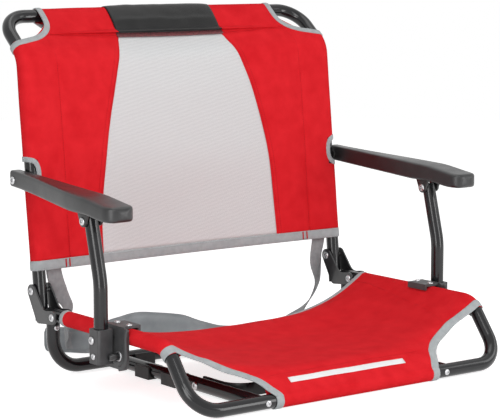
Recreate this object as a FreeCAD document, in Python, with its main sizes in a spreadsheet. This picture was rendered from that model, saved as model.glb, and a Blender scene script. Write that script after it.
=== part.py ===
# Folding stadium seat with arms, a sewn cover, a shoulder strap and a bench hook.
# Millimetres, +Z up, front towards -Y, origin on the floor under the middle of the seat.
import FreeCAD
import Part
import Sketcher
import math
import os
from FreeCAD import Placement, Rotation, Vector

doc = FreeCAD.newDocument("stadium_seat")

# Driving sizes
SIZES = [
    ("tube_diameter", 19.0, "outside of every frame tube"),
    ("tube_wall", 1.2, "wall of every frame tube"),
    ("frame_width", 533.0, "between the centre lines of the two uprights"),
    ("floor_gap", 2.0, "rubber between the lowest tubes and the floor"),
    ("hinge_y", 129.3, "fold axis behind the origin"),
    ("hinge_height", 117.5, "fold axis above the floor"),
    ("rail_drop", 29.5, "seat rail axis below the fold axis"),
    ("front_reach", 372.5, "fold axis to front bar axis"),
    ("drop_angle", 52.4, "slope of the seat's front below level, degrees"),
    ("drop_bend", 40.0, "bend radius from rail to drop"),
    ("front_corner", 40.0, "bend radius of the front bar's corners"),
    ("joint_length", 6.0, "straight tube beside each butt joint"),
    ("leg_setback", 34.0, "rear leg ahead of the fold axis"),
    ("leg_corner", 42.0, "bend radius of the rear leg"),
    ("weld_gap", 0.05, "gap of a coped tube end"),
    ("cope_rise", 5.7, "coped leg end above the rail's underside"),
    ("lower_spacing", 324.0, "between the lower rails' axes"),
    ("pin_radius", 3.0, "rivets, bolts and pivot screws"),
    ("pin_clearance", 0.05, "radial running clearance of a pin"),
    ("head_radius", 5.5, "rivet and bolt heads"),
    ("head_height", 2.2, "rivet and bolt heads"),
    ("head_crown", 3.4, "radius of a head's flat top"),
    ("head_gap", 0.1, "under a bolt's head"),
    ("turning_gap", 0.4, "bolt head and shoulder clear of a turning socket"),
    ("plug_flange", 2.0, "thickness of a tube plug's flange"),
    ("plug_depth", 14.0, "length of a tube plug inside the tube"),
    ("plug_gap", 0.1, "radial gap of a tube plug"),
    ("plate_thickness", 2.5, "hinge plates"),
    ("plate_gap", 0.5, "hinge plate beside the folded cover's band"),
    ("plate_round", 10.0, "hinge plate around the fold rivet"),
    ("plate_toe", 9.5, "hinge plate around the rail rivet"),
    ("plate_heel", 8.5, "hinge plate around the stop barrel"),
    ("plate_hollow", 16.0, "hollow in the hinge plate's front edge"),
    ("plate_hollow_setback", 38.0, "hollow's centre ahead of the fold axis"),
    ("plate_hollow_drop", 6.0, "hollow's centre below the fold axis"),
    ("rail_rivet_setback", 54.0, "rail rivet ahead of the fold axis"),
    ("stop_radius", 5.0, "stop barrel"),
    ("stop_gap", 0.4, "upright clear of the stop barrel at rest"),
    ("stop_lever", 36.0, "stop contact below the fold axis"),
    ("upright_tail", 40.0, "upright below the fold axis"),
    ("rail_end_gap", 1.2, "rail plug clear of the stop barrel"),
    ("lean", 6.35, "back leaning from upright, degrees"),
    ("bow_start", 330.0, "fold axis to the bend of the upright"),
    ("bow_angle", 44.0, "bend of the back's top, degrees"),
    ("bow_length", 80.0, "bend to top tube axis"),
    ("bow_bend", 40.0, "radius of the upright's bend"),
    ("bow_corner", 39.0, "radius of the top bow's corners"),
    ("link_length", 157.0, "fold axis to arm bolt, the same on the post"),
    ("post_setback", 202.0, "post pivot ahead of the fold axis"),
    ("post_drop", 4.0, "post pivot below the rail axis"),
    ("post_offset", 31.25, "post's centre line outside the upright's"),
    ("post_shift", 3.5, "post foot ahead of its pivot"),
    ("post_foot_drop", 28.0, "foot of the post below its pivot"),
    ("post_knee_rise", 76.0, "bend of the post above its pivot"),
    ("post_bend_radius", 90.0, "bend radius of the post"),
    ("post_head", 5.0, "post above its upper bolt"),
    ("open_pivot_clearance", 0.3, "radial gap at the post's upper bolt"),
    ("socket_wall", 2.7, "moulded socket round the post's foot"),
    ("socket_gap", 0.1, "radial gap of the socket"),
    ("socket_floor", 3.0, "closed end of the socket"),
    ("socket_corner", 4.0, "rounded upright edges of the socket"),
    ("socket_height", 46.0, "length of the socket"),
    ("socket_screw_drop", 21.0, "socket screw below the post pivot"),
    ("arm_gap", 1.4, "arm clear of the back cover"),
    ("arm_lug_width", 18.5, "arm at its rear bolt"),
    ("arm_lug_radius", 10.5, "height of the arm's rear end"),
    ("arm_width", 44.0, "arm at its front"),
    ("arm_reach", 267.0, "fold axis to the arm's front end"),
    ("arm_front_rise", 27.0, "front of the arm's top above the post's upper bolt"),
    ("arm_end_round", 4.0, "rounded rear end of the arm"),
    ("arm_nose_round", 8.0, "round front end of the arm, seen from the side"),
    ("arm_waist_setback", 60.0, "thin part of the arm ahead of the fold axis"),
    ("arm_waist_drop", 10.0, "thin part's underside below the arm bolt"),
    ("arm_belly_setback", 150.0, "thick part of the arm ahead of the fold axis"),
    ("arm_blend", 60.0, "radius of the bends in the arm's underside"),
    ("arm_nose_rise", 8.0, "front of the arm's underside above the post's upper bolt"),
    ("arm_clear", 12.5, "arm's underside above the post's upper bolt"),
    ("ear_thickness", 4.0, "ears under the arm"),
    ("ear_gap", 0.4, "ear beside the post"),
    ("ear_radius", 8.0, "round end of an ear"),
    ("spacer_radius", 6.5, "spacer between upright and arm"),
    ("spacer_gap", 0.3, "arm clear of its spacer"),
    ("bracket_length", 62.0, "arm bracket along the rail"),
    ("bracket_front", 242.0, "fold axis to the bracket's front"),
    ("bracket_wall", 3.6, "bracket's plate and flange"),
    ("bracket_gap", 0.4, "bracket clear of the sleeve"),
    ("bracket_drop", 43.0, "bracket's lower end below the rail axis"),
    ("bracket_corner", 12.0, "round corners of the bracket's plate"),
    ("bracket_lip", 5.0, "turned-down inner edge"),
    ("bracket_screw_inset", 17.0, "flange screws from the bracket's ends"),
    ("stop_pin_radius", 4.5, "post stop pin"),
    ("stop_pin_gap", 0.8, "socket clear of its stop pin"),
    ("stop_pin_drop", 21.0, "post stop pin below the post pivot"),
    ("stop_pin_reach", 16.0, "post stop pin beyond the bracket"),
    ("foot_length", 34.0, "rubber clip along its rail"),
    ("foot_width", 25.0, "rubber clip across its rail"),
    ("foot_height", 17.5, "rubber clip"),
    ("foot_grip", 0.1, "rubber clip round its tube"),
    ("rear_clip_setback", 116.0, "rear clip ahead of the fold axis"),
    ("front_clip_setback", 180.0, "front clip ahead of the fold axis"),
    ("rear_foot_spacing", 240.0, "between the feet of the rear bar"),
    ("front_screw_inset", 110.5, "front bar's screws inside the rail's centre line"),
    ("leg_screw_drop", 17.0, "leg screw below the rail axis"),
    ("screw_head_radius", 4.2, "small screw heads"),
    ("screw_head_height", 1.8, "small screw heads"),
    ("screw_head_crown", 2.8, "flat top of a small screw head"),
    ("screw_radius", 2.0, "small screws"),
    ("screw_length", 6.0, "small screws below the head"),
    ("hook_pivot_setback", 240.0, "hook pivot ahead of the fold axis"),
    ("hook_reach", 62.0, "hook pivot to the hook's cross bar"),
    ("hook_tail", 9.0, "hook behind its pivot"),
    ("hook_thickness", 4.0, "flat bar of the hook"),
    ("hook_height", 18.0, "flat bar of the hook"),
    ("hook_corner", 30.0, "bend radius of the hook"),
    ("hook_gap", 0.4, "hook beside the lower rails"),
    ("cloth", 1.1, "cover cloth"),
    ("cloth_gap", 0.3, "cover clear of the tubes"),
    ("seam_gap", 0.3, "between two sewn pieces"),
    ("cover_bottom", 28.0, "fold axis to the back cover's lower edge"),
    ("band_height", 14.0, "band along the back's lower edge"),
    ("band_extra", 0.5, "band and bindings thicker than the cloth"),
    ("sleeve_top", 306.0, "fold axis to the end of the straight sleeves"),
    ("side_top", 342.0, "fold axis to the side panels' upper corner"),
    ("corner_inset", 63.5, "cover's end on the top tube inside the upright's centre line"),
    ("corner_dip", 349.0, "fold axis to the middle of the corner cut"),
    ("corner_rise", 23.0, "inner end of the corner cut above its middle"),
    ("binding_width", 9.0, "grey bindings"),
    ("handle_half", 93.0, "half width of the handle sleeve"),
    ("handle_bottom", 353.0, "fold axis to the handle sleeve's lower edge"),
    ("handle_extra", 0.8, "handle sleeve thicker than the cloth"),
    ("tape_height", 7.0, "woven tape under the handle"),
    ("mesh_top_half", 98.0, "half width of the mesh at its top"),
    ("mesh_mid_half", 141.0, "half width of the mesh at half height"),
    ("mesh_bottom_half", 151.0, "half width of the mesh at its foot"),
    ("notch_height", 40.0, "arm notch in the sleeve"),
    ("notch_depth", 16.0, "arm notch from the sleeve's outer side"),
    ("sling_rear", 68.0, "fold axis to the sling's rear edge"),
    ("sling_front", 292.0, "fold axis to the end of the rail sleeves"),
    ("sling_edge_drop", 2.0, "sling's edge below the rail axis"),
    ("sling_rear_sag", 40.0, "sag of the rear edge"),
    ("sling_mid_sag", 43.0, "sag at the middle of the seat"),
    ("sling_front_sag", 39.0, "sag where the front begins"),
    ("front_slope", 37.0, "slope of the cloth above the front bar, degrees"),
    ("front_cloth_inset", 139.5, "cloth's edge at the front bar inside the rail's centre line"),
    ("cut_upper_rise", 79.0, "upper point of the cut corner above the bar, along the slope"),
    ("cut_upper_inset", 49.5, "upper point inside the rail's centre line"),
    ("cut_upper_sag", 18.0, "sag of the cloth at the upper point"),
    ("cut_middle_rise", 54.0, "middle point of the cut corner above the bar, along the slope"),
    ("cut_middle_inset", 99.5, "middle point inside the rail's centre line"),
    ("cut_middle_sag", 4.0, "sag of the cloth at the middle point"),
    ("cut_lower_rise", 32.0, "lower point of the cut corner above the bar, along the slope"),
    ("cut_lower_inset", 118.5, "lower point inside the rail's centre line"),
    ("cut_lower_sag", 0.5, "sag of the cloth at the lower point"),
    ("hem_sag", 0.2, "sag of the cloth at the bar"),
    ("rear_binding", 8.0, "width of the seat's rear binding"),
    ("rear_binding_inset", 6.0, "ends of the rear binding inside the sling's edges"),
    ("corner_binding", 3.5, "width of the bindings at the seat's cut corners"),
    ("corner_binding_end", 3.9, "lower end of these bindings above the bar, along the slope"),
    ("corner_binding_flare", 4.0, "lower end of these bindings outside the cloth"),
    ("label_length", 200.0, "white strip on the seat's front"),
    ("label_width", 8.0, "white strip on the seat's front"),
    ("label_thickness", 0.8, "white strip on the seat's front"),
    ("label_rise", 20.0, "white strip above the front bar along the slope"),
    ("label_shift", 7.0, "white strip left of the middle"),
    ("webbing_width", 25.0, "shoulder strap webbing"),
    ("webbing_thickness", 1.6, "shoulder strap webbing"),
    ("webbing_tuck", 8.0, "webbing's first bend below the back cover"),
    ("webbing_inset", 27.5, "webbing's upper end inside the upright's centre line"),
    ("pad_height", 38.0, "width of the shoulder pad, standing on its edge"),
    ("pad_thickness", 9.0, "shoulder pad"),
    ("pad_lift", 0.5, "shoulder pad above the floor"),
    ("pad_bend", 24.0, "bends of the shoulder pad"),
]
sheet = doc.addObject("Spreadsheet::Sheet", "sizes")
for row, (alias, value, meaning) in enumerate(SIZES, 1):
    sheet.set("A%d" % row, meaning)
    sheet.set("B%d" % row, str(value))
    sheet.setAlias("B%d" % row, alias)
doc.recompute()
nodes = []


def size(alias):
    return float(sheet.get(alias))


def deliver(label, item):
    item.Label = label
    nodes.append(item)


# Sides: the left one lies towards -X
SIDES = [("left", -1), ("right", 1)]

# Places worked out from the driving sizes
tube_radius = size("tube_diameter") / 2
half_width = size("frame_width") / 2
low_height = size("floor_gap") + tube_radius
rail_z = size("hinge_height") - size("rail_drop")
post_pivot_z = rail_z - size("post_drop")
slope = math.radians(size("drop_angle"))
lean = math.radians(size("lean"))
bow = math.radians(size("bow_angle"))
front_y = size("hinge_y") - size("front_reach")
cloth_inner = tube_radius + size("cloth_gap")
cloth_outer = cloth_inner + size("cloth")

# The same places as formulas for bound objects
LOW = "(sizes.floor_gap + sizes.tube_diameter / 2)"
HALF = "(sizes.frame_width / 2)"
TUBE = "(sizes.tube_diameter / 2)"
RAIL_Z = "(sizes.hinge_height - sizes.rail_drop)"
BORE = "(sizes.tube_diameter / 2 - sizes.tube_wall)"
FRONT_Y = "(sizes.hinge_y - sizes.front_reach)"
LEG_Y = "(sizes.hinge_y - sizes.leg_setback)"
LEAN_SIN = "sin(sizes.lean * 1 deg)"
LEAN_COS = "cos(sizes.lean * 1 deg)"
RUNNING = "(sizes.pin_radius + sizes.pin_clearance)"
CLOTH_OUT = "(sizes.tube_diameter / 2 + sizes.cloth_gap + sizes.cloth)"
ARM_IN = "(sizes.frame_width / 2 + sizes.tube_diameter / 2 + sizes.cloth_gap + sizes.cloth + sizes.arm_gap)"
POST_X = "(sizes.frame_width / 2 + sizes.post_offset)"
POST_Z = "(sizes.hinge_height - sizes.rail_drop - sizes.post_drop)"
POST_Y = "(sizes.hinge_y - sizes.post_setback)"
ARM_BOLT_Y = "(sizes.hinge_y + sizes.link_length * %s)" % LEAN_SIN
ARM_BOLT_Z = "(sizes.hinge_height + sizes.link_length * %s)" % LEAN_COS
POST_TOP_Y = "(sizes.hinge_y - sizes.post_setback + sizes.link_length * %s)" % LEAN_SIN
POST_TOP_Z = "(%s + sizes.link_length * %s)" % (POST_Z, LEAN_COS)

TURN = {
    "X": Rotation(Vector(0, 1, 0), 90),
    "-X": Rotation(Vector(0, 1, 0), -90),
    "Y": Rotation(Vector(1, 0, 0), -90),
    "-Y": Rotation(Vector(1, 0, 0), 90),
    "Z": Rotation(),
    "-Z": Rotation(Vector(1, 0, 0), 180),
}
STEP = {
    "X": (1, 0, 0),
    "-X": (-1, 0, 0),
    "Y": (0, 1, 0),
    "-Y": (0, -1, 0),
    "Z": (0, 0, 1),
    "-Z": (0, 0, -1),
}


def seat_at(item, base, axis="Z"):
    """Place an object by three formulas, its own Z along the named axis."""
    item.Placement = Placement(Vector(), TURN[axis])
    for letter, formula in zip("xyz", base):
        item.setExpression("Placement.Base." + letter, formula)
    return item


def cylinder(name, radius, length, base, axis):
    item = doc.addObject("Part::Cylinder", name)
    item.setExpression("Radius", radius)
    item.setExpression("Height", length)
    return seat_at(item, base, axis)


def frustum(name, radius, crown, length, base, axis):
    item = doc.addObject("Part::Cone", name)
    item.setExpression("Radius1", radius)
    item.setExpression("Radius2", crown)
    item.setExpression("Height", length)
    return seat_at(item, base, axis)


def block(name, sizes_xyz, base):
    item = doc.addObject("Part::Box", name)
    for prop, formula in zip(("Length", "Width", "Height"), sizes_xyz):
        item.setExpression(prop, formula)
    return seat_at(item, base)


def fuse(name, items):
    item = doc.addObject("Part::MultiFuse", name)
    item.Shapes = items
    return item


def cut(name, base, tools):
    item = doc.addObject("Part::Cut", name)
    item.Base = base
    item.Tool = tools[0] if len(tools) == 1 else fuse(name + "_tools", tools)
    return item


def group(name, items):
    item = doc.addObject("Part::Compound", name)
    item.Links = items
    return item


def along(base, axis, distance):
    """A place moved along an axis by a formula."""
    return tuple("%s + (%d) * (%s)" % (start, part, distance) for start, part in zip(base, STEP[axis]))


def opposite(axis):
    return axis[1:] if axis.startswith("-") else "-" + axis


def rivet(name, grip, base, axis):
    """Pin with a head at each end; the grip runs from base along the axis."""
    end = along(base, axis, grip)
    heads = ("sizes.head_radius", "sizes.head_crown", "sizes.head_height")
    return fuse(name, [
        cylinder(name + "_pin", "sizes.pin_radius", grip, base, axis),
        frustum(name + "_head", *heads, end, axis),
        frustum(name + "_tail", *heads, base, opposite(axis)),
    ])


def bolt(name, length, base, axis):
    """Pin with one head; it runs from base, and the head ends it."""
    end = along(base, axis, length)
    return fuse(name, [
        cylinder(name + "_pin", "sizes.pin_radius", length, base, axis),
        frustum(name + "_head", "sizes.head_radius", "sizes.head_crown", "sizes.head_height", end, axis),
    ])


def small_screw(name, seat, axis, length="sizes.screw_length"):
    """Screw whose head sits on the surface at seat, with the axis pointing outward."""
    foot = along(seat, axis, "-" + length)
    return fuse(name, [
        cylinder(name + "_shank", "sizes.screw_radius", length, foot, axis),
        frustum(name + "_head", "sizes.screw_head_radius", "sizes.screw_head_crown",
                "sizes.screw_head_height", seat, axis),
    ])


def screw_hole(name, seat, axis):
    foot = along(seat, axis, "-2 * sizes.screw_length")
    return cylinder(name, "sizes.screw_radius + sizes.pin_clearance", "3 * sizes.screw_length", foot, axis)


# Sketch helpers
def origin_plane(body, role):
    for feature in body.Origin.OriginFeatures:
        if feature.Role == role:
            return feature


def new_body(name, base, turn=None):
    body = doc.addObject("PartDesign::Body", name)
    body.Placement = Placement(Vector(), turn or Rotation())
    for letter, formula in zip("xyz", base):
        body.setExpression("Placement.Base." + letter, formula)
    return body


def new_sketch(body, name, role):
    sketch = body.newObject("Sketcher::SketchObject", name)
    sketch.AttachmentSupport = [(origin_plane(body, role), "")]
    sketch.MapMode = "FlatFace"
    return sketch


def end_of(sketch, index, point):
    """Which end of a sketch edge lies at a point: 1 the start, 2 the end."""
    start = sketch.Geometry[index].StartPoint
    return 1 if start.distanceToPoint(point) < 1e-6 else 2


def round_corner(before, corner, after, radius):
    """Tangent points and middle of the arc that rounds a corner."""
    way_in = (corner - before).normalize()
    way_out = (after - corner).normalize()
    turn = way_in.getAngle(way_out)
    reach = radius * math.tan(turn / 2)
    start = corner - way_in * reach
    end = corner + way_out * reach
    inward = (way_out - way_in).normalize()
    centre = corner + inward * (radius / math.cos(turn / 2))
    return start, centre - inward * radius, end


def sketch_path(sketch, corners, bends):
    """Straight runs held in place; each arc between two of them has a bound radius."""
    points = [Vector(x, y, 0) for x, y in corners]
    rounds = [round_corner(points[i], points[i + 1], points[i + 2], radius)
              for i, (radius, formula) in enumerate(bends)]
    run_start = points[0]
    for start, middle, end in rounds:
        sketch.addGeometry(Part.LineSegment(run_start, start))
        sketch.addGeometry(Part.Arc(start, middle, end))
        run_start = end
    sketch.addGeometry(Part.LineSegment(run_start, points[-1]))
    for i in range(len(bends) + 1):
        sketch.addConstraint(Sketcher.Constraint("Block", 2 * i))
    for i, (start, middle, end) in enumerate(rounds):
        bend = 2 * i + 1
        radius, formula = bends[i]
        arc_start = end_of(sketch, bend, start)
        arc_end = end_of(sketch, bend, end)
        sketch.addConstraint(Sketcher.Constraint("Coincident", bend, arc_start, bend - 1, 2))
        sketch.addConstraint(Sketcher.Constraint("Coincident", bend, arc_end, bend + 1, 1))
        held = sketch.addConstraint(Sketcher.Constraint("Radius", bend, radius))
        sketch.setExpression("Constraints[%d]" % held, formula)
    return sketch


def add_circle(sketch, centre, radius, formula):
    circle = sketch.addGeometry(Part.Circle(Vector(centre[0], centre[1], 0), Vector(0, 0, 1), radius))
    held = sketch.addConstraint(Sketcher.Constraint("Radius", circle, radius))
    sketch.setExpression("Constraints[%d]" % held, formula)


def sketch_outline(sketch, points, radii=None):
    """Closed outline through points, the corners rounded by their radii where these are given."""
    corners = [Vector(x, y, 0) for x, y in points]
    count = len(corners)
    if radii is None:
        for i in range(count):
            sketch.addGeometry(Part.LineSegment(corners[i], corners[(i + 1) % count]))
        return
    rounds = [round_corner(corners[i - 1], corners[i], corners[(i + 1) % count], radii[i])
              for i in range(count)]
    for i, (start, middle, end) in enumerate(rounds):
        sketch.addGeometry(Part.Arc(start, middle, end))
        sketch.addGeometry(Part.LineSegment(end, rounds[(i + 1) % count][0]))


def disc_hull(sketch, discs):
    """Closed outline around discs named counterclockwise: arcs and their common tangents.

    A disc with a negative radius hollows the outline."""
    normals = []
    for i, (y, z, radius) in enumerate(discs):
        y2, z2, radius2 = discs[(i + 1) % len(discs)]
        way = Vector(y2 - y, z2 - z, 0)
        share = (radius - radius2) / way.Length
        way.normalize()
        normals.append(way * share + Vector(way.y, -way.x, 0) * math.sqrt(1 - share * share))
    for i, (y, z, radius) in enumerate(discs):
        centre = Vector(y, z, 0)
        start = math.atan2(normals[i - 1].y, normals[i - 1].x)
        turn = (math.atan2(normals[i].y, normals[i].x) - start) % (2 * math.pi)
        if radius < 0:
            turn -= 2 * math.pi
        middle = Vector(math.cos(start + turn / 2), math.sin(start + turn / 2), 0)
        sketch.addGeometry(Part.Arc(centre + normals[i - 1] * radius, centre + middle * radius,
                                    centre + normals[i] * radius))
        after = discs[(i + 1) % len(discs)]
        sketch.addGeometry(Part.LineSegment(centre + normals[i] * radius,
                                            Vector(after[0], after[1], 0) + normals[i] * after[2]))


def pad(body, sketch, length):
    feature = body.newObject("PartDesign::Pad", sketch.Name + "_pad")
    feature.Profile = sketch
    feature.setExpression("Length", length)
    body.Tip = feature
    return feature


HALF_TURN = Rotation(Vector(0, 0, 1), 180)


def bent_tube(name, base, turn, path_role, corners, bends, section_role):
    """Hollow tube swept along a path that starts at the body's origin and bends to its left."""
    body = new_body(name, base, turn)
    section = new_sketch(body, name + "_section", section_role)
    add_circle(section, (0, 0), tube_radius, TUBE)
    add_circle(section, (0, 0), tube_radius - size("tube_wall"), BORE)
    path = sketch_path(new_sketch(body, name + "_path", path_role), corners, bends)
    sweep = body.newObject("PartDesign::AdditivePipe", name + "_sweep")
    sweep.Profile = section
    sweep.Spine = (path, ["Edge%d" % (i + 1) for i in range(len(path.Geometry))])
    body.Tip = sweep
    return body


# Seat rails: level from the hinge, then bent down to the front bar
drop_run = (rail_z - low_height) / math.tan(slope)
slope_length = (rail_z - low_height) / math.sin(slope)
stop_offset = tube_radius + size("stop_radius") + size("stop_gap")
stop_y = -size("stop_lever") * math.sin(lean) - stop_offset * math.cos(lean)
stop_z = -size("stop_lever") * math.cos(lean) + stop_offset * math.sin(lean)
rail_end = size("stop_radius") - stop_y + size("rail_end_gap") + size("plug_flange")
STOP_OUT = "(%s + sizes.stop_radius + sizes.stop_gap)" % TUBE
STOP_Y = "(sizes.hinge_y - sizes.stop_lever * %s - %s * %s)" % (LEAN_SIN, STOP_OUT, LEAN_COS)
STOP_Z = "(sizes.hinge_height - sizes.stop_lever * %s + %s * %s)" % (LEAN_COS, STOP_OUT, LEAN_SIN)
RAIL_END_Y = "(%s - sizes.stop_radius - sizes.rail_end_gap - sizes.plug_flange)" % STOP_Y
rail_run = size("front_reach") - drop_run - rail_end
rail_slope = slope_length - size("front_corner") - size("joint_length")
RAIL_RIVET_Y = "(sizes.hinge_y - sizes.rail_rivet_setback)"
for side, sign in SIDES:
    tube = bent_tube(
        "rail_tube_" + side,
        ("%d * %s" % (sign, HALF), RAIL_END_Y, RAIL_Z),
        None, "YZ_Plane",
        [(0, 0), (-rail_run, 0),
         (-rail_run - rail_slope * math.cos(slope), -rail_slope * math.sin(slope))],
        [(size("drop_bend"), "sizes.drop_bend")], "XZ_Plane")
    hole = cylinder("rail_hole_" + side, RUNNING, "2 * sizes.tube_diameter",
                    ("%d * %s - sizes.tube_diameter" % (sign, HALF), RAIL_RIVET_Y, RAIL_Z), "X")
    deliver("seat_rail_" + side, cut("rail_" + side, tube, [hole]))

# Front bar: a U in the plane of the sloping front, its corners on the floor
corner_run = size("front_corner") + size("joint_length")
bar = bent_tube(
    "front_bar_tube",
    ("-" + HALF,
     FRONT_Y + " + (sizes.front_corner + sizes.joint_length) * cos(sizes.drop_angle * 1 deg)",
     LOW + " + (sizes.front_corner + sizes.joint_length) * sin(sizes.drop_angle * 1 deg)"),
    Rotation(Vector(1, 0, 0), size("drop_angle")), "XY_Plane",
    [(0, 0), (0, -corner_run), (2 * half_width, -corner_run), (2 * half_width, 0)],
    [(size("front_corner"), "sizes.front_corner")] * 2, "XZ_Plane")
front_holes = []
front_screws = []
for side, sign in SIDES:
    seat = ("%d * (%s - sizes.front_screw_inset)" % (sign, HALF), FRONT_Y + " - " + TUBE, LOW)
    front_holes.append(screw_hole("front_screw_hole_" + side, seat, "-Y"))
    front_screws.append(small_screw("front_screw_" + side, seat, "-Y"))
deliver("front_bar", cut("front_bar_drilled", bar, front_holes))
deliver("front_bar_screws", group("front_bar_screw_pair", front_screws))

# Rear leg: a U whose upper ends are coped to the rails
leg_drop = rail_z - tube_radius + size("cope_rise") - low_height
leg = bent_tube(
    "leg_tube", ("-" + HALF, LEG_Y, RAIL_Z + " + sizes.cope_rise - " + TUBE), None, "XZ_Plane",
    [(0, 0), (0, -leg_drop), (2 * half_width, -leg_drop), (2 * half_width, 0)],
    [(size("leg_corner"), "sizes.leg_corner")] * 2, "XY_Plane")
leg_cuts = []
leg_screws = []
for side, sign in SIDES:
    leg_x = "%d * %s" % (sign, HALF)
    leg_cuts.append(cylinder("leg_cope_" + side, TUBE + " + sizes.weld_gap", "4 * sizes.tube_diameter",
                             (leg_x, LEG_Y + " - 2 * sizes.tube_diameter", RAIL_Z), "Y"))
    seat = (leg_x, LEG_Y + " - " + TUBE, RAIL_Z + " - sizes.leg_screw_drop")
    leg_cuts.append(screw_hole("leg_screw_hole_" + side, seat, "-Y"))
    leg_screws.append(small_screw("leg_screw_" + side, seat, "-Y"))
deliver("rear_leg", cut("rear_leg_coped", leg, leg_cuts))
deliver("leg_screws", group("leg_screw_pair", leg_screws))

# Lower rails: straight tubes coped to the rear bar and the front bar
HOOK_Y = "(sizes.hinge_y - sizes.hook_pivot_setback)"
feet = []
hook_screws = []
for side, sign in SIDES:
    rail_x = "%d * sizes.lower_spacing / 2" % sign
    across = rail_x + " - sizes.tube_diameter"
    length = "sizes.front_reach - sizes.leg_setback"
    outside = cylinder("lower_outside_" + side, TUBE, length, (rail_x, FRONT_Y, LOW), "Y")
    tools = [cylinder("lower_bore_" + side, BORE, length, (rail_x, FRONT_Y, LOW), "Y")]
    for end, end_y in (("front", FRONT_Y), ("rear", LEG_Y)):
        tools.append(cylinder("lower_cope_%s_%s" % (end, side), TUBE + " + sizes.weld_gap",
                              "2 * sizes.tube_diameter", (across, end_y, LOW), "X"))
    tools.append(cylinder("lower_hole_" + side, RUNNING, "2 * sizes.tube_diameter",
                          (across, HOOK_Y, LOW), "X"))
    deliver("lower_rail_" + side, cut("lower_" + side, outside, tools))
    # Rubber clips under each lower rail, flat on the floor
    for place in ("rear", "front"):
        foot_y = "sizes.hinge_y - sizes.%s_clip_setback" % place
        rubber = block("foot_block_%s_%s" % (place, side),
                       ("sizes.foot_width", "sizes.foot_length", "sizes.foot_height"),
                       (rail_x + " - sizes.foot_width / 2", foot_y + " - sizes.foot_length / 2", "0"))
        groove = cylinder("foot_groove_%s_%s" % (place, side), TUBE + " + sizes.foot_grip",
                          "2 * sizes.foot_length", (rail_x, foot_y + " - sizes.foot_length", LOW), "Y")
        feet.append(cut("foot_%s_%s" % (place, side), rubber, [groove]))
    # Pivot screw of the bench hook, from outside the rail through the hook
    outward = "X" if sign > 0 else "-X"
    hook_inner = "(sizes.lower_spacing / 2 - %s - sizes.hook_gap - sizes.hook_thickness)" % TUBE
    start = ("%d * (%s - 1.5 * sizes.hook_gap)" % (sign, hook_inner), HOOK_Y, LOW)
    grip = "sizes.tube_diameter + sizes.hook_thickness + 2.5 * sizes.hook_gap"
    hook_screws.append(rivet("hook_screw_" + side, grip, start, outward))
deliver("rail_feet", group("rail_foot_set", feet))
deliver("hook_pivot_screws", group("hook_screw_pair", hook_screws))

# Rubber feet under the rear bar
rear_feet = []
for side, sign in SIDES:
    foot_x = "%d * sizes.rear_foot_spacing / 2" % sign
    rubber = block("rear_foot_block_" + side, ("sizes.foot_length", "sizes.foot_width", "sizes.foot_height"),
                   (foot_x + " - sizes.foot_length / 2", LEG_Y + " - sizes.foot_width / 2", "0"))
    groove = cylinder("rear_foot_groove_" + side, TUBE + " + sizes.foot_grip", "2 * sizes.foot_length",
                      (foot_x + " - sizes.foot_length", LEG_Y, LOW), "X")
    rear_feet.append(cut("rear_foot_" + side, rubber, [groove]))
deliver("rear_bar_feet", group("rear_foot_pair", rear_feet))

# Bench hook: a flat bar bent to a U between the lower rails
hook_x = size("lower_spacing") / 2 - tube_radius - size("hook_gap") - size("hook_thickness") / 2
hook_run = size("hook_reach") + size("hook_tail")
hook_body = new_body("hook_bar", (
    "-(sizes.lower_spacing / 2 - %s - sizes.hook_gap - sizes.hook_thickness / 2)" % TUBE,
    HOOK_Y + " + sizes.hook_tail", LOW))
hook_section = new_sketch(hook_body, "hook_section", "XZ_Plane")
half_thick = size("hook_thickness") / 2
half_high = size("hook_height") / 2
sketch_outline(hook_section, [(-half_thick, -half_high), (half_thick, -half_high),
                              (half_thick, half_high), (-half_thick, half_high)])
hook_path = sketch_path(
    new_sketch(hook_body, "hook_path", "XY_Plane"),
    [(0, 0), (0, -hook_run), (2 * hook_x, -hook_run), (2 * hook_x, 0)],
    [(size("hook_corner"), "sizes.hook_corner")] * 2)
hook_sweep = hook_body.newObject("PartDesign::AdditivePipe", "hook_sweep")
hook_sweep.Profile = hook_section
hook_sweep.Spine = (hook_path, ["Edge%d" % (i + 1) for i in range(len(hook_path.Geometry))])
hook_body.Tip = hook_sweep
hook_hole = cylinder("hook_hole", RUNNING, "sizes.lower_spacing",
                     ("-sizes.lower_spacing / 2", HOOK_Y, LOW), "X")
deliver("bench_hook", cut("hook_drilled", hook_body, [hook_hole]))

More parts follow.
